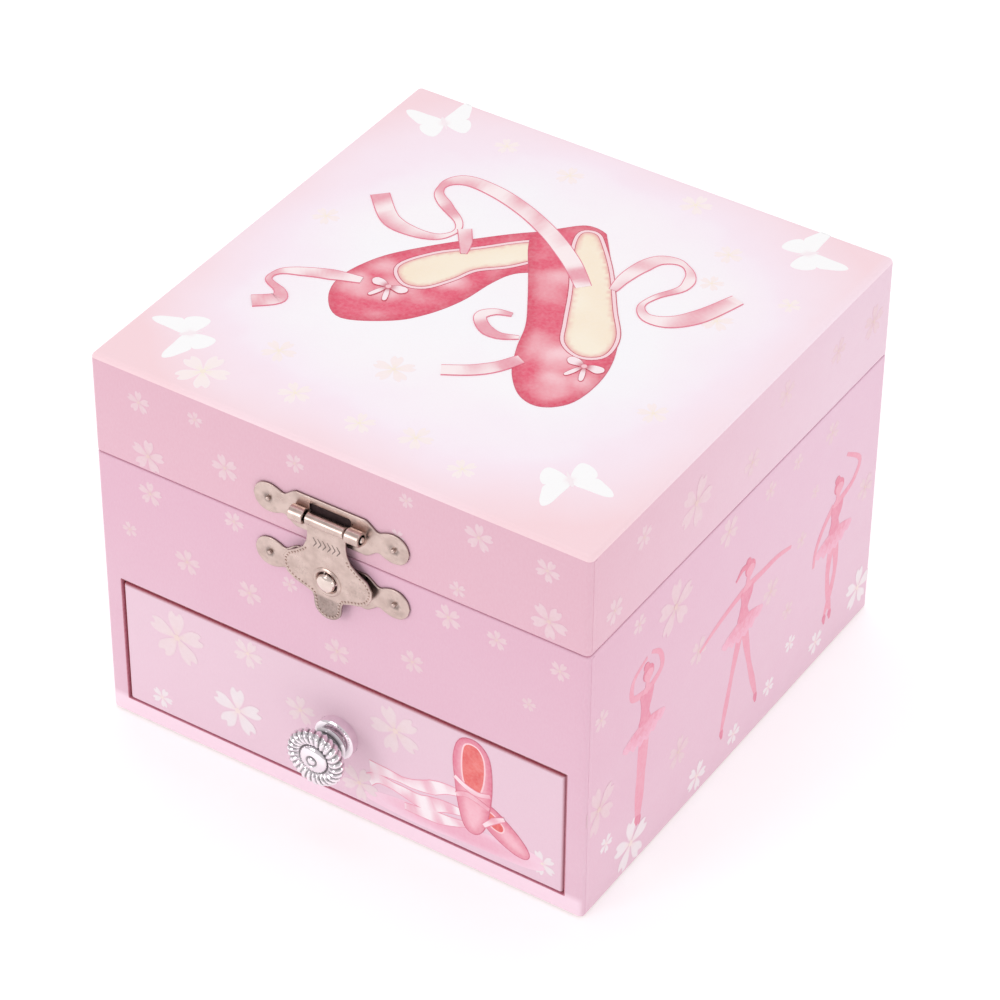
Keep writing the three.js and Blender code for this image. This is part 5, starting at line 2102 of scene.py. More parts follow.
@dataclass
class Catch:
    """Stamped hasp, its two plates, pin and nails."""

    pin_z: float = field(default_factory=lambda: joint_place("catch_hasp_hinge").z)
    pin_y: float = field(default_factory=lambda: joint_place("catch_hasp_hinge").y)
    upper_z: float = 70.875
    stud_z: float = 58.0
    face_y: float = -CASE_HALF
    nail: float = 13.9
    gauge: float = 0.5
    rolled: float = 0.16

    def build(self) -> None:
        """Builds every piece of the catch."""
        self.hasp()
        self.upper_plate()
        self.lower_plate()
        pin = lathe([(0, -8.1), (0.45, -8.1), (0.6, -7.9), (0.6, 7.9), (0.45, 8.1), (0, 8.1)], 20)
        place = Matrix.Translation((CATCH_X, self.pin_y, self.pin_z)) @ Matrix.Rotation(TURN / 4, 4, "Y")
        settle(pin.placed(place).build("hasp_pin", Finish.POLISHED), "lid", "catch_nickel", "catch_pin")
        for body, row, nodes in (("lid", self.upper_z - 0.125, "catch_upper_nail"),
                                 ("case", self.stud_z, "catch_lower_nail")):
            form = Form()
            for side in (-1, 1):
                head = along_y(nail_head(0.48))
                place = Matrix.Translation((CATCH_X + side * self.nail, self.face_y - self.gauge, row))
                form.add(head.placed(place))
            settle(form.build(nodes + "s", Finish.NICKEL), body, "steel", nodes + "_left", nodes + "_right")

    def outline(self) -> list[Flat]:
        """Outline of the hasp about the stud's centre line, clockwise in x and height.

        Returns:
            The outline.
        """
        half = [(4.25, 12.4), (4.3, 9.5), (4.5, 8.0), (5.3, 6.2), (7.0, 4.8), (8.9, 3.6), (9.9, 1.9),
                (9.9, 0.2), (9.0, -1.5), (7.4, -2.6), (5.2, -3.2), (3.4, -3.9), (3.1, -5.0)]
        tab = [(3.1 * math.cos(a), -5.8 + 3.1 * math.sin(a)) for a in
               (-0.2, -0.5, -0.8, -1.1, -1.35, -TURN / 4)]
        right = half + tab
        return right + [(-u, v) for u, v in reversed(right[:-1])]

    def relief(self, u: float, v: float) -> float:
        """Height of the stamping at a place on the hasp; its grooves are below zero.

        Args:
            u: Place across.
            v: Place upwards.

        Returns:
            Height of the stamping there.
        """
        height = 0.0
        ring = math.hypot(u, v)
        lobe = math.hypot((abs(u) - 6.6) / 1.25, v - 0.9)
        if lobe < 1.9 and ring > 3.6:
            height += 0.05 * noise.noise(Vector((u * 5, v * 5, 0)))
        tab = math.hypot(u, v + 5.8)
        if tab < 2.3 and v < -4.0:
            height += 0.06 * noise.noise(Vector((u * 4, v * 4, 4))) - 0.02
        return height

    def hasp(self) -> None:
        """Hasp body with its rolled barrel, border beads and stamped relief."""
        outline = self.outline()
        grid = 0.3
        hole = circle(2.2, 32)
        leaf = plate(outline, self.gauge, self.rolled, [hole], grid, self.relief)
        # Painted shade in the grooves and on the cut edges.
        shade_plate(leaf, self.gauge, self.relief)
        for index, point in enumerate(leaf.points):
            tab = ease(-3.6, -4.2, point.y) * 0.34
            leaf.inks[index] = tuple(value * (1 - tab) for value in leaf.inks[index])
        form = front_of(leaf, CATCH_X, self.face_y - 1.5, self.stud_z)
        form.add(rolled_loop(1.2, 0.62, CATCH_X - 4.25, CATCH_X + 4.25, self.pin_y, self.pin_z))
        for point in form.points:
            if point.z < 70:
                point.y = min(point.y, self.face_y - 0.75)
        ring = lathe([(2.25, 0.45), (2.5, 0.72), (2.85, 0.78), (3.15, 0.6), (3.2, 0.45)], 36, ring=True)
        form.add(front_of(ring, CATCH_X, self.face_y - 1.5, self.stud_z))
        settle(form.build("hasp_leaf", Finish.STAMPED), "hasp", "catch_nickel", "catch_hasp")
        settle(self.chevrons().build("hasp_chevrons", Finish.STAMPED), "hasp", "catch_nickel")
        bead = lathe([(0, 0.0), (0.24, 0.0), (0.2, 0.16), (0, 0.25)], 8).build("bead", Finish.NICKEL)
        border = inset(outline, 0.62)
        places = []
        for u, v in round_path(border, 0.78):
            if v < 6.5:
                spot = Matrix.Translation((CATCH_X + u, self.face_y - 1.98, self.stud_z + v))
                places.append(spot @ Matrix.Rotation(TURN / 4, 4, "X"))
        beads = Repeat(bead, jitter=0.05, seed=5).over("hasp_border_beads", places, Finish.NICKEL)
        settle(beads, "hasp", "catch_nickel")

    def chevrons(self) -> Form:
        """Row of stamped arrow marks under the hasp's barrel, printed dark as painted shade.

        Returns:
            The marks.
        """
        panel = Panel(Vector((CATCH_X, self.face_y - 2.0, self.stud_z)), X, Z)
        form = Form()
        for count in range(6):
            u = -2.9 + 1.05 * count
            arrow = ((u, 9.4), (u + 0.35, 8.85), (u + 0.7, 8.3), (u + 0.35, 7.75), (u, 7.2))
            form.add(brush(panel, arrow, (0.14, 0.3, 0.14), flat_ink(painted_shade(-0.12)), 0.012 + 0.001 * count, 2))
        return form

    def eared(self) -> list[Flat]:
        """Plate outline with a waist between its body and a round ear at each end.

        Returns:
            The outline.
        """
        half, high, ear = 8.5, 4.125, EAR
        top = [(0, high), (half - 2.2, high), (half - 0.9, high), (half - 0.1, high - 0.35),
               (half + 0.8, high - 1.05), (half + 1.6, high * 0.6), (ear - 3.2, 2.4), (ear - 2.2, 2.85),
               (ear - 1.1, 3.2), (ear, 3.3), (ear + 1.5, 2.95), (ear + 2.7, 1.8), (ear + 3.2, 0.35)]
        right = top + [(u, -v) for u, v in reversed(top)]
        return smooth(right + [(-u, -v) for u, v in right[1:-1]], 3)

    def eared_plate(self, height: float, holes: Sequence[Outline]) -> Form:
        """Stamped and shaded plate with its middle at a height.

        Args:
            height: Height of its middle.
            holes: Outlines of its holes.

        Returns:
            The plate.
        """
        leaf = plate(self.eared(), self.gauge, self.rolled, holes, 0.6, ear_relief)
        shade_plate(leaf, self.gauge, ear_relief)
        return front_of(leaf, CATCH_X, self.face_y, height)

    def upper_plate(self) -> None:
        """Plate on the lid with its two rolled loops, and a near-black sheet of painted shade behind its
        window.
        """
        form = self.eared_plate(self.upper_z, [rounded_rect(4.5, 2.75, 0.3, 2)])
        for side in (-1, 1):
            low, high = sorted((CATCH_X + side * 4.7, CATCH_X + side * 7.8))
            form.add(rolled_loop(1.55, 1.0, low, high, self.pin_y, self.pin_z))
            form.add(bar((low + 0.1, self.face_y - 1.3, 69.3), (high - 0.1, self.face_y - 0.2, 70.4), 0.25))
        settle(form.build("catch_upper_leaf", Finish.STAMPED), "lid", "catch_nickel", "catch_upper_plate")
        # Painted shade: a near-black sheet behind the window.
        dark = bar((CATCH_X - 4.6, self.face_y - 0.06, 68.0),
                   (CATCH_X + 4.6, self.face_y + 0.1, 73.7), 0.05)
        settle(dark.build("catch_window", Finish.SHADE), *LID_PART)

    def lower_plate(self) -> None:
        """Plate on the case with its turned stud."""
        form = self.eared_plate(self.stud_z, ())
        settle(form.build("catch_lower_leaf", Finish.STAMPED), "case", "catch_nickel", "catch_lower_plate")
        stud = lathe([(0, 0.3), (1.75, 0.3), (1.75, 0.9), (1.5, 1.2), (1.45, 1.6), (1.8, 1.95), (1.95, 2.35),
                      (1.75, 2.8), (1.2, 3.1), (0.5, 3.22), (0, 3.24)], 36)
        stud = front_of(stud, CATCH_X, self.face_y, self.stud_z)
        settle(stud.build("catch_stud", Finish.POLISHED), "case", "catch_nickel")


def ear_relief(u: float, v: float) -> float:
    """Stamped grain on a catch plate's ears, with a dimple round each nail.

    Args:
        u: Place across.
        v: Place upwards.

    Returns:
        Height of the stamping there.
    """
    ear = math.hypot(abs(u) - EAR, v)
    grain = 0.05 * noise.noise(Vector((u * 3, v * 3, 2))) if ear < 2.6 else 0.0
    return grain - 0.1 * math.exp(-((ear - 0.7) / 0.3) ** 2)


def painted_shade(height: float) -> Colour:
    """Painted shade of plated metal by the depth of its grooves."""
    return (min(max(1 + 6 * height, 0.12), 1.0),) * 3


def shade_plate(leaf: Form, thickness: float, relief: Relief) -> None:
    """Paints shade on a stamped plate in its grooves and on its cut edges.

    Args:
        leaf: The plate, lying flat.
        thickness: Its gauge.
        relief: Rise of its face at each place.
    """
    for point in leaf.points:
        cut = 0.13 * ease(0.9 * thickness, 0.45 * thickness, point.z)
        leaf.inks.append(painted_shade(relief(point.x, point.y) - cut))


@dataclass
class Knob:
    """Turned and knurled drawer knob."""

    place: Vector = field(default_factory=lambda: Vector((0, -CASE_HALF, KNOB_Z)))
    gadroons: int = 26

    def build(self) -> None:
        """Builds the knob's pieces."""
        profile = [(0, -0.05), (4.4, -0.05), (4.5, 0.2), (4.5, 1.9), (4.2, 2.2), (3.35, 2.4), (3.3, 3.1),
                   (3.8, 3.35), (3.95, 3.65), (3.75, 3.95), (3.4, 4.2), (3.6, 4.7), (4.4, 5.5), (5.3, 6.2),
                   (5.9, 6.7), (6.2, 7.1), (6.35, 7.6), (6.3, 8.1), (6.05, 8.6), (5.6, 8.98), (5.0, 9.15),
                   (4.4, 9.1), (3.9, 8.9), (3.5, 8.6), (3.3, 8.4), (3.15, 8.4), (3.0, 8.7), (2.7, 8.95),
                   (2.0, 9.15), (1.35, 9.3), (1.15, 9.15), (0.95, 9.15), (0.75, 9.4), (0.4, 9.58), (0, 9.62)]
        sides = self.gadroons * 10
        form = lathe(profile, sides)
        for point in form.points:
            radius = math.hypot(point.x, point.y)
            around = math.atan2(point.y, point.x)
            band = math.atan2(point.z - 7.7, radius - 4.9)
            flute = math.cos(self.gadroons * around + 1.5 * band)
            outer = ease(3.2, 3.9, radius) * ease(5.4, 6.6, point.z)
            if outer and radius:
                lean = math.cos(band)
                out = Vector((point.x / radius * lean, point.y / radius * lean, math.sin(band)))
                point += out * (0.16 * outer * (flute - 0.4))
            # Painted dark reflections and shade in the flutes' valleys, varied at random, and painted shade
            # in the turned grooves.
            place = Vector((5 * math.cos(around), 5 * math.sin(around), point.z))
            sparkle = 0.5 + 0.5 * noise.noise(place)
            flute_shade = outer * ease(-0.1, -0.9, flute) * (0.35 + 0.9 * sparkle)
            form.inks.append((1 - min(max(flute_shade, self.turned_groove_shade(radius, point.z)), 0.92),) * 3)
        knob = along_y(form).placed(Matrix.Translation(self.place))
        settle(knob.build("knob_body", Finish.CHROME, crease=40), "drawer", "knob_chrome", "drawer_knob")

    def turned_groove_shade(self, radius: float, height: float) -> float:
        """Painted shade of the turned grooves by radius and height."""
        rings = ((3.22, 8.4, 0.24), (1.05, 9.15, 0.2), (3.3, 2.75, 0.4), (3.4, 4.2, 0.35))
        return max(math.exp(-((radius - r) ** 2 + (height - h) ** 2) / size ** 2) for r, h, size in rings)


# --- hinges, key and screws


@dataclass
class Hardware:
    """Hinges, their nails, the winding key and the movement's screws, all at the back."""

    seam: float = field(default_factory=lambda: joint_place("lid_hinge").z)
    pin_y: float = field(default_factory=lambda: joint_place("lid_hinge").y)

    def build(self) -> None:
        """Builds the back's fittings."""
        for name in ("left", "right"):
            self.hinge(name)
        self.key()
        form = Form()
        for name in ("left", "right"):
            middle = middle_mm(f"movement_screw_{name}")
            head = lathe([(0, -0.2), (3.0, -0.2), (3.0, 0.2), (2.5, 0.75), (1.4, 0.98), (0, 1.0)], 28)
            slot = bar((-2.2, -0.4, 0.72), (2.2, 0.4, 1.02), 0.08)
            place = Matrix.Translation((middle.x, CASE_HALF, middle.z))
            form.add(along_y(head, 1).placed(place))
            form.add(along_y(slot, 1).placed(place), 1)
        screws = form.build("movement_screw_heads", Finish.STEEL, Finish.BOARD)
        settle(screws, "case", "steel", "movement_screw_left", "movement_screw_right")

    def leaf(self, x: float, up: int) -> Form:
        """One hinge leaf with its knuckles; up is 1 for the lid's leaf.

        Args:
            x: Middle of the hinge.
            up: 1 for the lid's leaf, -1 for the case's.

        Returns:
            The leaf.
        """
        half = ((-9, 0.9), (9, 0.9), (9, 5.6), (7.6, 7.4), (-7.6, 7.4), (-9, 5.6))
        outline = [(u, v * up) for u, v in half]
        holes = [circle(0.7, 16, u, 4.5 * up) for u in (-5.5, 5.5)]
        flat = plate(outline, 0.5, 0.14, holes)
        turn = Matrix(((-1, 0, 0, x), (0, 0, 1, CASE_HALF), (0, 1, 0, self.seam), (0, 0, 0, 1)))
        form = flat.placed(turn)
        spans = ((-2.85, 2.85),) if up > 0 else ((-8.9, -3.15), (3.15, 8.9))
        foot, head = sorted((self.seam + up * 0.5, self.seam + up * 1.6))
        for low, high in spans:
            form.add(rolled_loop(1.3, 0.6, x + low, x + high, self.pin_y, self.seam))
            form.add(bar((x + low + 0.1, CASE_HALF, foot), (x + high - 0.1, CASE_HALF + 0.55, head), 0.12))
        return form

    def hinge(self, name: str) -> None:
        """One hinge of two leaves, a pin and four nails.

        Args:
            name: Its side, left or right.
        """
        x = middle_mm(f"hinge_{name}_pin").x
        for body, up in (("lid", 1), ("case", -1)):
            leaf = self.leaf(x, up).build(f"hinge_{name}_{body}_plate", Finish.NICKEL)
            settle(leaf, body, "catch_nickel", f"hinge_{name}_{body}_leaf")
            nails = Form()
            for u in (-5.5, 5.5):
                head = along_y(nail_head(), 1)
                nails.add(head.placed(Matrix.Translation((x + u, CASE_HALF + 0.5, self.seam + 4.5 * up))))
            nails = nails.build(f"hinge_{name}_{body}_nails", Finish.STEEL)
            nodes = f"hinge_{name}_{body}_nail_"
            settle(nails, body, "steel", nodes + "inner", nodes + "outer")
        pin = lathe([(0, -9.2), (0.5, -9.1), (0.56, -8.9), (0.56, 8.9), (0.5, 9.1), (0, 9.2)], 16)
        place = Matrix.Translation((x, self.pin_y, self.seam)) @ Matrix.Rotation(TURN / 4, 4, "Y")
        rod = pin.placed(place).build(f"hinge_{name}_rod", Finish.STEEL)
        settle(rod, "case", "steel", f"hinge_{name}_pin")

    def key(self) -> None:
        """Butterfly winding key with its socket; the great wheel keeps its frame shape."""
        wing = smooth(((0, 2.4), (2.6, 2.6), (4.8, 4.6), (8.2, 5.2), (10.8, 3.0), (10.9, -1.4), (8.6, -4.4),
                       (5.0, -4.2), (2.6, -2.4), (0, -2.3)), 6, closed=False)
        outline = wing + [(-u, v) for u, v in reversed(wing[1:-1])]
        eyes = [circle(2.0, 28, side * 7.0, 0.3) for side in (-1, 1)]
        form = plate(outline, 1.5, 0.4, eyes).placed(Matrix.Translation((0, 0, 10)))
        form.add(lathe([(0, 2.4), (2.5, 2.4), (2.75, 2.65), (2.75, 9.4), (2.4, 10.3), (1.6, 10.6),
                        (0, 10.6)], 28))
        form.add(lathe([(0, -4.5), (1.45, -4.5), (1.45, 2.6), (0, 2.6)], 20))
        turn = Matrix(((1, 0, 0, 0), (0, 0, 1, CASE_HALF), (0, -1, 0, KEY_Z), (0, 0, 0, 1)))
        key = form.placed(turn).build("key_butterfly", Finish.STEEL)
        settle(key, "key", "steel", "winding_key")


# --- linings, mirror and movement


def tub(low: Sequence[float], high: Sequence[float], wall: float, up: int = 1) -> Form:
    """Thin-walled open tub between two corners, its mouth up (1) or down (-1).

    Args:
        low: Lowest corner.
        high: Highest corner.
        wall: Thickness of its walls.
        up: 1 if the mouth is up, -1 if it is down.

    Returns:
        The tub.
    """
    middle = [(a + b) / 2 for a, b in zip(low, high)]
    half = [(b - a) / 2 for a, b in zip(low, high)]
    base, mouth = (low[2], high[2]) if up > 0 else (high[2], low[2])
    loops = []
    for back, z in ((0, base), (0, mouth), (wall, mouth), (wall, base + up * wall)):
        loops.append([Vector((middle[0] + u, middle[1] + v, z)) for u, v in
                      rounded_rect(half[0] - back, half[1] - back, 0.6 - 0.5 * back)])
    return loft(loops)


def dress(node: str, finish: Finish) -> None:
    """Gives one of the frame's own pieces its finish.

    Args:
        node: The frame node's name.
        finish: Its finish.
    """
    data = frame["nodes"][node].data
    data.materials.clear()
    data.materials.append(finish.material())


@dataclass
class Interior:
    """Flocked linings, the stage, the mirror's frame and the drawer's lining."""

    thick: float = 0.25
    mirror_half: float = 43.0

    def build(self) -> None:
        """Builds the linings."""
        reach = INSIDE + PAPER - 0.02
        self.line("case_lining", *CASE_PART, tub(
            (-reach, -reach, SHELF_TOP), (reach, STAGE_FRONT - 0.02, CASE_RIM - 2.6), self.thick))
        self.line("lid_lining", *LID_PART, tub(
            (-reach, -reach, LID_RIM + 2.6), (reach, reach, CEILING), self.thick, -1))
        inside = corner_mm("drawer_tray", True).x - 2.5
        floor = corner_mm("drawer_bottom", True).z
        back = corner_mm("drawer_tray", True).y - 2.5
        self.line("drawer_lining", *DRAWER_PART, tub(
            (-inside, DRAWER_HIGH.y + 0.1, floor), (inside, back, 28.4), 0.2))
        self.stage()
        self.mirror_frame()
        dress("lid_mirror", Finish.MIRROR)

    def line(self, name: str, body: str, slot: str, form: Form) -> None:
        """One flocked lining."""
        settle(form.build(name, Finish.VELVET), body, slot)

    def stage(self) -> None:
        """Flocked stage with its two holes, a braid along the front and a brass ferrule."""
        reach = INSIDE + PAPER - 0.02
        outline = [(-reach, STAGE_FRONT), (reach, STAGE_FRONT), (reach, reach), (-reach, reach)]
        holes = [circle(2.6, 28, 0, SPINDLE_Y), circle(1.6, 20, -46, SPINDLE_Y)]
        top = slab([outline], STAGE_TOP - 0.02, STAGE_TOP + 0.3, holes=holes)
        self.line("stage_lining", *CASE_PART, top)
        ring = lathe([(2.3, -1.2), (2.48, -1.2), (2.48, 0.3), (3.7, 0.3), (3.8, 0.55), (3.4, 0.8),
                      (2.5, 0.75), (2.3, 0.5)], 36, ring=True)
        ring = ring.placed(Matrix.Translation((0, SPINDLE_Y, STAGE_TOP)))
        settle(ring.build("stage_ferrule", Finish.BRASS), "case", "movement_brass")
        tuft = lathe([(0, -0.5), (0.42, -0.32), (0.5, 0), (0.42, 0.32), (0, 0.5)], 8)
        item = tuft.build("tuft", Finish.SATIN_BRAID)
        pitch = 0.85
        count = int((2 * reach - 2) / pitch)
        edge, top = STAGE_FRONT + 0.5, STAGE_TOP + 0.6
        places = [Matrix.Translation((-reach + 1 + k * pitch, edge + 0.25 * (k % 2), top))
                  @ Matrix.Rotation(0.9, 4, "X") for k in range(count)]
        braid = Repeat(item, jitter=0.08, seed=21).over("stage_braid", places, Finish.SATIN_BRAID)
        settle(braid, *CASE_PART)

    def mirror_frame(self) -> None:
        """Raised satin frame that holds the mirror's edge."""
        half = self.mirror_half
        low = corner_mm("lid_mirror", False).z
        loops = []
        for back, z in ((1.2, low), (0.7, low - 0.5), (-0.4, low - 0.6), (-1.1, low - 0.1), (-1.2, low + 1.6),
                        (-0.15, low + 1.6), (-0.15, low - 0.02), (1.2, low - 0.02)):
            loops.append([Vector((u, v, z)) for u, v in rounded_rect(half - back, half - back, 1.3)])
        settle(loft(loops, ring=True).build("mirror_frame", Finish.SATIN_BRAID), *LID_PART)


@dataclass
class Movement:
    """Finishes of the frame's movement parts, and the drum's pins."""

    brass: Sequence[str] = ("movement_bedplate", "pin_cylinder", "great_wheel", "governor_wheel",
                            "governor_fly", "governor_bracket")
    steel: Sequence[str] = ("spring_barrel", "tone_comb", "comb_screw_lower", "comb_screw_upper", "stop_wire")
    board: Sequence[str] = ("base_board", "left_wall", "right_wall", "back_wall", "front_wall", "shelf_board",
                            "movement_bay_wall", "stage_board", "lid_top_board", "lid_left_wall",
                            "lid_right_wall", "lid_front_wall", "lid_back_wall")
    card: Sequence[str] = ("drawer_tray", "drawer_bottom")

    def build(self) -> None:
        """Dresses the frame's own pieces and adds the pins."""
        for names, finish in ((self.brass, Finish.BRASS), (self.steel, Finish.STEEL),
                              (self.board, Finish.BOARD), (self.card, Finish.CARD),
                              (("drawer_knob_screw",), Finish.STEEL)):
            for name in names:
                dress(name, finish)
        self.pins()

    def pins(self) -> None:
        """Short pins in rows round the drum, with tune-like gaps."""
        item = lathe([(0, -0.1), (0.14, -0.1), (0.12, 0.5), (0, 0.55)], 6).build("pin", Finish.STEEL)
        spindle = Matrix.Translation((0, SPINDLE_Y, 0))
        places = []
        for row in range(18):
            for step in range(40):
                if (row * 7 + step * 5 + row * step) % 6:
                    continue
                turn = Matrix.Rotation(step / 40 * TURN, 4, "Z")
                turn = turn @ Matrix.Translation((6.45, 0, 30.2 + 0.86 * row))
                places.append(spindle @ turn @ Matrix.Rotation(TURN / 4, 4, "Y"))
        pins = Repeat(item, seed=2).over("drum_pins", places, Finish.STEEL)
        settle(pins, "cylinder", "movement_brass")


# --- the dancer


@dataclass
class Dancer:
    """Moulded dancer on her toes, in an upright frame that lies forward under the shut lid."""

    fold: Vector = field(default_factory=lambda: joint_place("ballerina_fold"))
    toes: float = 9.7
    bend: float = 3.7
    hips: float = 20.6
    net_depth: float = 9.3

    def upright(self, height: float = 0.0) -> Matrix:
        """Matrix from her upright frame, raised by a height, to the box at rest."""
        lie = Matrix.Translation(self.fold) @ Matrix.Rotation(TURN / 4, 4, "X")
        return lie @ Matrix.Translation((0, 0, height))

    def build(self) -> None:
        """Builds the spring, the socket, the figure and the tutu."""
        socket = lathe([(0, 3.95), (1.95, 3.95), (2.0, 4.4), (1.7, 4.7), (1.75, 7.1), (2.3, 7.6), (3.2, 7.85),
                        (3.32, 8.2), (3.25, 8.8), (2.6, 9.2), (0, 9.42)], 36).placed(self.upright())
        settle(socket.build("dancer_cup", Finish.WHITE), "dancer_base", "white_plastic", "dancer_socket")
        self.spring()
        self.figure()
        self.details()
        self.tutu()

    def spring(self) -> None:
        """Coil spring wound round a quarter bend between the two bodies it joins."""
        turns, steps = 6.5, 16
        path = []
        for k in range(int(turns * steps) + 1):
            share = k / (turns * steps)
            angle, phase = share * TURN / 4, share * turns * TURN
            out = Vector((0, math.cos(angle), math.sin(angle)))
            middle = Vector((0, self.fold.y - self.bend, self.fold.z - self.bend)) + out * self.bend
            path.append(middle + 1.3 * (out * math.cos(phase) + X * math.sin(phase)))
        coil = tube(path, [0.2] * len(path), 8).build("dancer_coil", Finish.SPRING_STEEL)
        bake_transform(coil)
        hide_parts("dancer_spring")

    def limbs(self) -> Form:
        """Legs, trunk, arms, neck and head as overlapping closed forms, before they are fused.

        Returns:
            The forms together.
        """
        form = Form()
        for side in (-1, 1):
            leg = [Vector(p) for p in ((0.45 * side, 0, 0), (0.5 * side, 0, 1.4), (0.6 * side, 0.05, 3.6),
                                       (0.75 * side, 0.15, 7), (0.85 * side, 0, 10), (1.0 * side, 0, 14),
                                       (1.05 * side, 0, 19))]
            form.add(tube(leg, (0.3, 0.5, 0.55, 0.85, 0.75, 1.15, 1.45), 16))
            arm = smooth_path(((1.7 * side, 0, 28), (3.6 * side, -0.3, 29.3), (5.4 * side, -0.5, 32.2),
                               (5.4 * side, -0.6, 35.4), (3.7 * side, -0.7, 38.6), (1.0 * side, -0.8, 40.3)))
            size = [0.78 - 0.4 * k / len(arm) for k in range(len(arm))]
            form.add(tube(arm, size, 12))
            form.add(tube([arm[-1], arm[-1] + Vector((-0.9 * side, 0.1, 0.15))], (0.38, 0.2), 10))
        trunk = lathe([(0, 17), (1.9, 17.4), (2.6, 19.4), (2.3, 21.4), (1.65, 23.4), (1.8, 25.2), (2.1, 26.8),
                       (2.15, 28), (1.2, 29.2), (0.8, 30), (0.75, 32.4), (0, 32.6)], 28)
        form.add(trunk.placed(Matrix.Diagonal((1, 0.74, 1, 1))))
        head = lathe([(2.5 * math.sin(a), -2.5 * math.cos(a)) for a in
                      (k / 16 * TURN / 2 for k in range(17))], 28)
        form.add(head.placed(Matrix.Translation((0, 0, 33.7)) @ Matrix.Diagonal((0.84, 0.9, 1.02, 1))))
        form.add(tube([Vector((0, -2.0, 33.9)), Vector((0, -2.42, 33.3))], (0.2, 0.26), 10))
        return form

    def figure(self) -> None:
        """Figure fused into one skin, then painted by height."""
        obj = self.limbs().build("dancer_rough", Finish.INK)
        modifier = obj.modifiers.new("fuse", "REMESH")
        modifier.mode = "VOXEL"
        modifier.voxel_size = 0.17 * MM
        relax = obj.modifiers.new("relax", "SMOOTH")
        relax.iterations = 3
        figure = baked(obj, "dancer_figure")
        mesh = figure.data
        layer = mesh.color_attributes.new("ink", "FLOAT_COLOR", "POINT")
        colours = [value for v in mesh.vertices for value in (*self.paint(v.co / MM), 1.0)]
        layer.data.foreach_set("color", colours)
        mesh.transform(Matrix.Scale(MM, 4) @ self.upright(self.toes) @ Matrix.Scale(1 / MM, 4))
        mesh.materials.clear()
        mesh.materials.append(Finish.INK.material())
        mesh.polygons.foreach_set("use_smooth", [True] * len(mesh.polygons))
        settle(figure, "ballerina", "figure_plastic", "ballerina_figure")

    def paint(self, place: Vector) -> Colour:
        """Paint at a place on the figure: shoes, tights, bodice, then skin with warm cheeks.

        Args:
            place: Place in her upright frame.

        Returns:
            The colour.
        """
        skin, tights = linear(250, 218, 200), linear(250, 214, 218)
        shoe, bodice = linear(238, 140, 172), linear(238, 132, 168)
        if place.z < 2.6:
            return shoe
        if place.z < 18.5:
            return tights
        if place.z < 27.2 - 0.5 * abs(place.x) and abs(place.x) < 2.6:
            return bodice
        cheek = math.hypot((abs(place.x) - 1.0) / 0.5, (place.z - 33.0) / 0.5)
        if place.y < -1.2:
            return mix(linear(244, 160, 160), skin, ease(0.3, 1.3, cheek))
        return skin

    def details(self) -> None:
        """Hair with its bun and band, closed eyes, brows and lips."""
        hair = lathe([(2.5 * math.sin(a), 2.5 * math.cos(a)) for a in
                      (k / 12 * 1.75 for k in range(13))] + [(0, 1.2)], 28)
        tilt = Matrix.Translation((0, 0.32, 33.95)) @ Matrix.Rotation(-0.62, 4, "X")
        form = hair.placed(tilt @ Matrix.Diagonal((0.92, 0.95, 1.04, 1)))
        bun = lathe([(1.25 * math.sin(a), -1.1 * math.cos(a)) for a in
                     (k / 10 * TURN / 2 for k in range(11))], 20)
        form.add(bun.placed(Matrix.Translation((0, 1.1, 36.5)) @ Matrix.Rotation(-0.4, 4, "X")))
        band = lathe([(1.1, -0.16), (1.34, -0.1), (1.34, 0.1), (1.1, 0.16)], 24, ring=True)
        form.add(band.placed(Matrix.Translation((0, 0.95, 36.0)) @ Matrix.Rotation(-0.4, 4, "X")), 1)
        stations = (-1, -0.5, 0, 0.5, 1)
        for side in (-1, 1):
            for x, z, arch, thick in ((0.78, 34.15, -0.12, 0.07), (0.8, 34.75, 0.1, 0.06)):
                arc = [self.on_face(side * (x + 0.42 * t), z + arch * (1 - t * t)) for t in stations]
                form.add(tube(arc, [thick * 0.5, thick, thick * 1.1, thick, thick * 0.5], 6))
        lips = [self.on_face(0.36 * t, 32.55 + 0.05 * t * t) for t in stations]
        form.add(tube(lips, (0.04, 0.11, 0.13, 0.11, 0.04), 8), 1)
        form = form.placed(self.upright(self.toes))
        settle(form.build("dancer_hair", Finish.HAIR, Finish.SHOE), "ballerina", "figure_plastic")

    def on_face(self, x: float, z: float) -> Vector:
        """Place on the front of the head for a sideways distance and a height."""
        rest = 1 - (x / 2.1) ** 2 - ((z - 33.7) / 2.55) ** 2
        return Vector((x, -2.25 * math.sqrt(max(rest, 0.05)) - 0.02, z))

    def tutu(self) -> None:
        """Three pleated layers of net that stand out from the hips."""
        rows, sides = 9, 176
        form = Form()
        layers = ((12.6, -0.75), (12.0, 0.0), (10.6, 0.7))
        for layer, (reach, lift) in enumerate(layers):
            loops = []
            for surface in (1, -1):
                for k in range(rows):
                    share = k / (rows - 1) if surface > 0 else 1 - k / (rows - 1)
                    radius = 2.4 + (reach - 2.4) * share
                    height = self.hips + 0.5 + lift * (0.3 + 0.7 * share) - 0.7 * share * share
                    loops.append([self.pleat(radius, height, share, i / sides * TURN, layer, surface)
                                  for i in range(sides)])
            sheet = loft(loops, ring=True)
            for face in sheet.faces[:(rows - 1) * sides]:
                a, b, c, d = (sheet.points[i] for i in face)
            form.add(sheet)
        net = form.placed(self.upright(self.toes)).build("dancer_net", Finish.TULLE, crease=80)
        settle(net, "ballerina", "tulle", "ballerina_tutu")

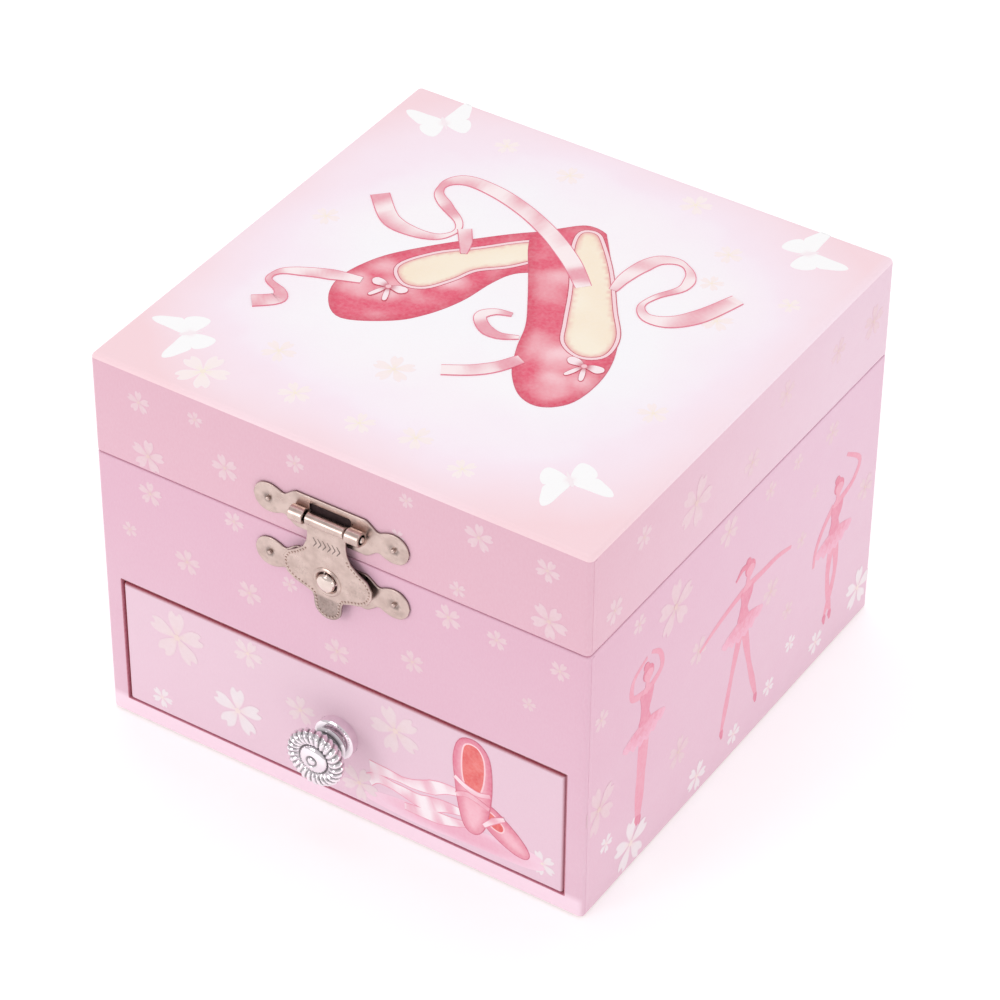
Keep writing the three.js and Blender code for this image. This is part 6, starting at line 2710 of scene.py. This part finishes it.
    def pleat(self, radius: float, height: float, share: float, angle: float, layer: int,
              surface: int) -> Vector:
        """Point on one net layer, its pleats growing towards the hem.

        Args:
            radius: Distance from her middle.
            height: Height before pleating.
            share: From 0 at the waist to 1 at the hem.
            angle: Direction round her.
            layer: Number of the layer.
            surface: 1 for its upper face, -1 for its lower one.

        Returns:
            The point.
        """
        wave = math.sin(22 * angle + layer * 1.1) * 0.42 * share
        frill = math.sin(44 * angle + layer) * 0.12 * share
        drift = noise.noise(Vector((math.cos(angle) * 2, math.sin(angle) * 2, layer))) * 0.3 * share
        reach = radius * (1 + 0.02 * share * math.sin(44 * angle + 2 * layer))
        rise = height + wave + frill + drift + surface * 0.04
        return Vector((reach * math.cos(angle), reach * math.sin(angle), rise))


def smooth_path(points: Sequence[Sequence[float]], steps: int = 5) -> list[Vector]:
    """Smooth open curve through a few points in space.

    Args:
        points: Points on the curve.
        steps: Steps between two points.

    Returns:
        The finer curve.
    """
    flat = smooth([(p[0], p[2]) for p in points], steps, closed=False)
    deep = smooth([(p[1], p[2]) for p in points], steps, closed=False)
    return [Vector((u, y, z)) for (u, z), (y, _) in zip(flat, deep)]


# --- studio


@dataclass
class Studio:
    """Pale table, bright surround and two soft lights."""

    lens: float = 145.2
    place: tuple[float, float, float] = (0.33488, -0.52056, 0.53252)
    azimuth: float = 32.707
    elevation: float = 38.525
    roll: float = 0.5025

    def build(self) -> None:
        """Builds the camera, the lights, the floor and the look."""
        self.camera()
        self.floor()
        self.lights()
        scene = bpy.context.scene
        scene.view_settings.view_transform = "Standard"
        scene.render.resolution_x = 1000
        scene.render.resolution_y = 1000

    def camera(self) -> None:
        """Sets the camera on its own framing."""
        data = bpy.data.cameras.new("camera")
        data.lens = self.lens
        data.sensor_width = 36
        data.clip_start = 0.01
        camera = linked("camera", data)
        bpy.context.scene.camera = camera
        az, el, roll = (math.radians(a) for a in (self.azimuth, self.elevation, self.roll))
        back = Vector((math.sin(az) * math.cos(el), -math.cos(az) * math.cos(el), math.sin(el)))
        right = Vector((math.cos(az), math.sin(az), 0))
        up = back.cross(right)
        turn = Matrix((math.cos(roll) * right + math.sin(roll) * up,
                       math.cos(roll) * up - math.sin(roll) * right, back)).transposed()
        camera.matrix_world = Matrix.Translation(self.place) @ turn.to_4x4()

    def floor(self) -> None:
        """White sweep under the box."""
        white = Nodes("floor_white")
        white.set(Base_Color=(0.80, 0.80, 0.80, 1), Roughness=0.75, Specular_IOR_Level=0.2,
                  Emission_Color=(1, 1, 1, 1), Emission_Strength=0.36)
        form = block((-4000, -4000, -6), (4000, 4000, -0.4))
        floor = form.build("floor")
        floor.data.materials.append(white.material)

    def lights(self) -> None:
        """White world with a large overhead light and a low front one."""
        world = bpy.data.worlds.new("world")
        world.use_nodes = True
        world.node_tree.nodes["Background"].inputs["Color"].default_value = (1.0, 0.99, 1.0, 1)
        world.node_tree.nodes["Background"].inputs["Strength"].default_value = 0.66
        bpy.context.scene.world = world
        for name, place, size, power in (("overhead", (-0.25, 0.35, 1.3), 0.9, 4.4),
                                         ("front", (-0.5, -1.1, 0.5), 0.5, 3.0),
                                         ("side", (1.2, 0.1, 0.4), 0.6, 2.2)):
            data = bpy.data.lights.new(name, "AREA")
            data.size = size
            data.energy = power
            lamp = linked(name, data)
            lamp.location = place
            aim = Vector((0, 0, 0.04)) - Vector(place)
            lamp.rotation_euler = aim.to_track_quat("-Z", "Y").to_euler()


# --- the whole object


def main() -> None:
    """Builds every piece, then the studio."""
    logging.basicConfig(level=logging.INFO, format="%(message)s")
    Wrapping().build()
    Blossoms().build()
    TopArt().build()
    DrawerArt().build()
    DancerArt().build()
    Catch().build()
    Knob().build()
    Hardware().build()
    Interior().build()
    Movement().build()
    Dancer().build()
    Studio().build()


if __name__ == "__main__":
    main()
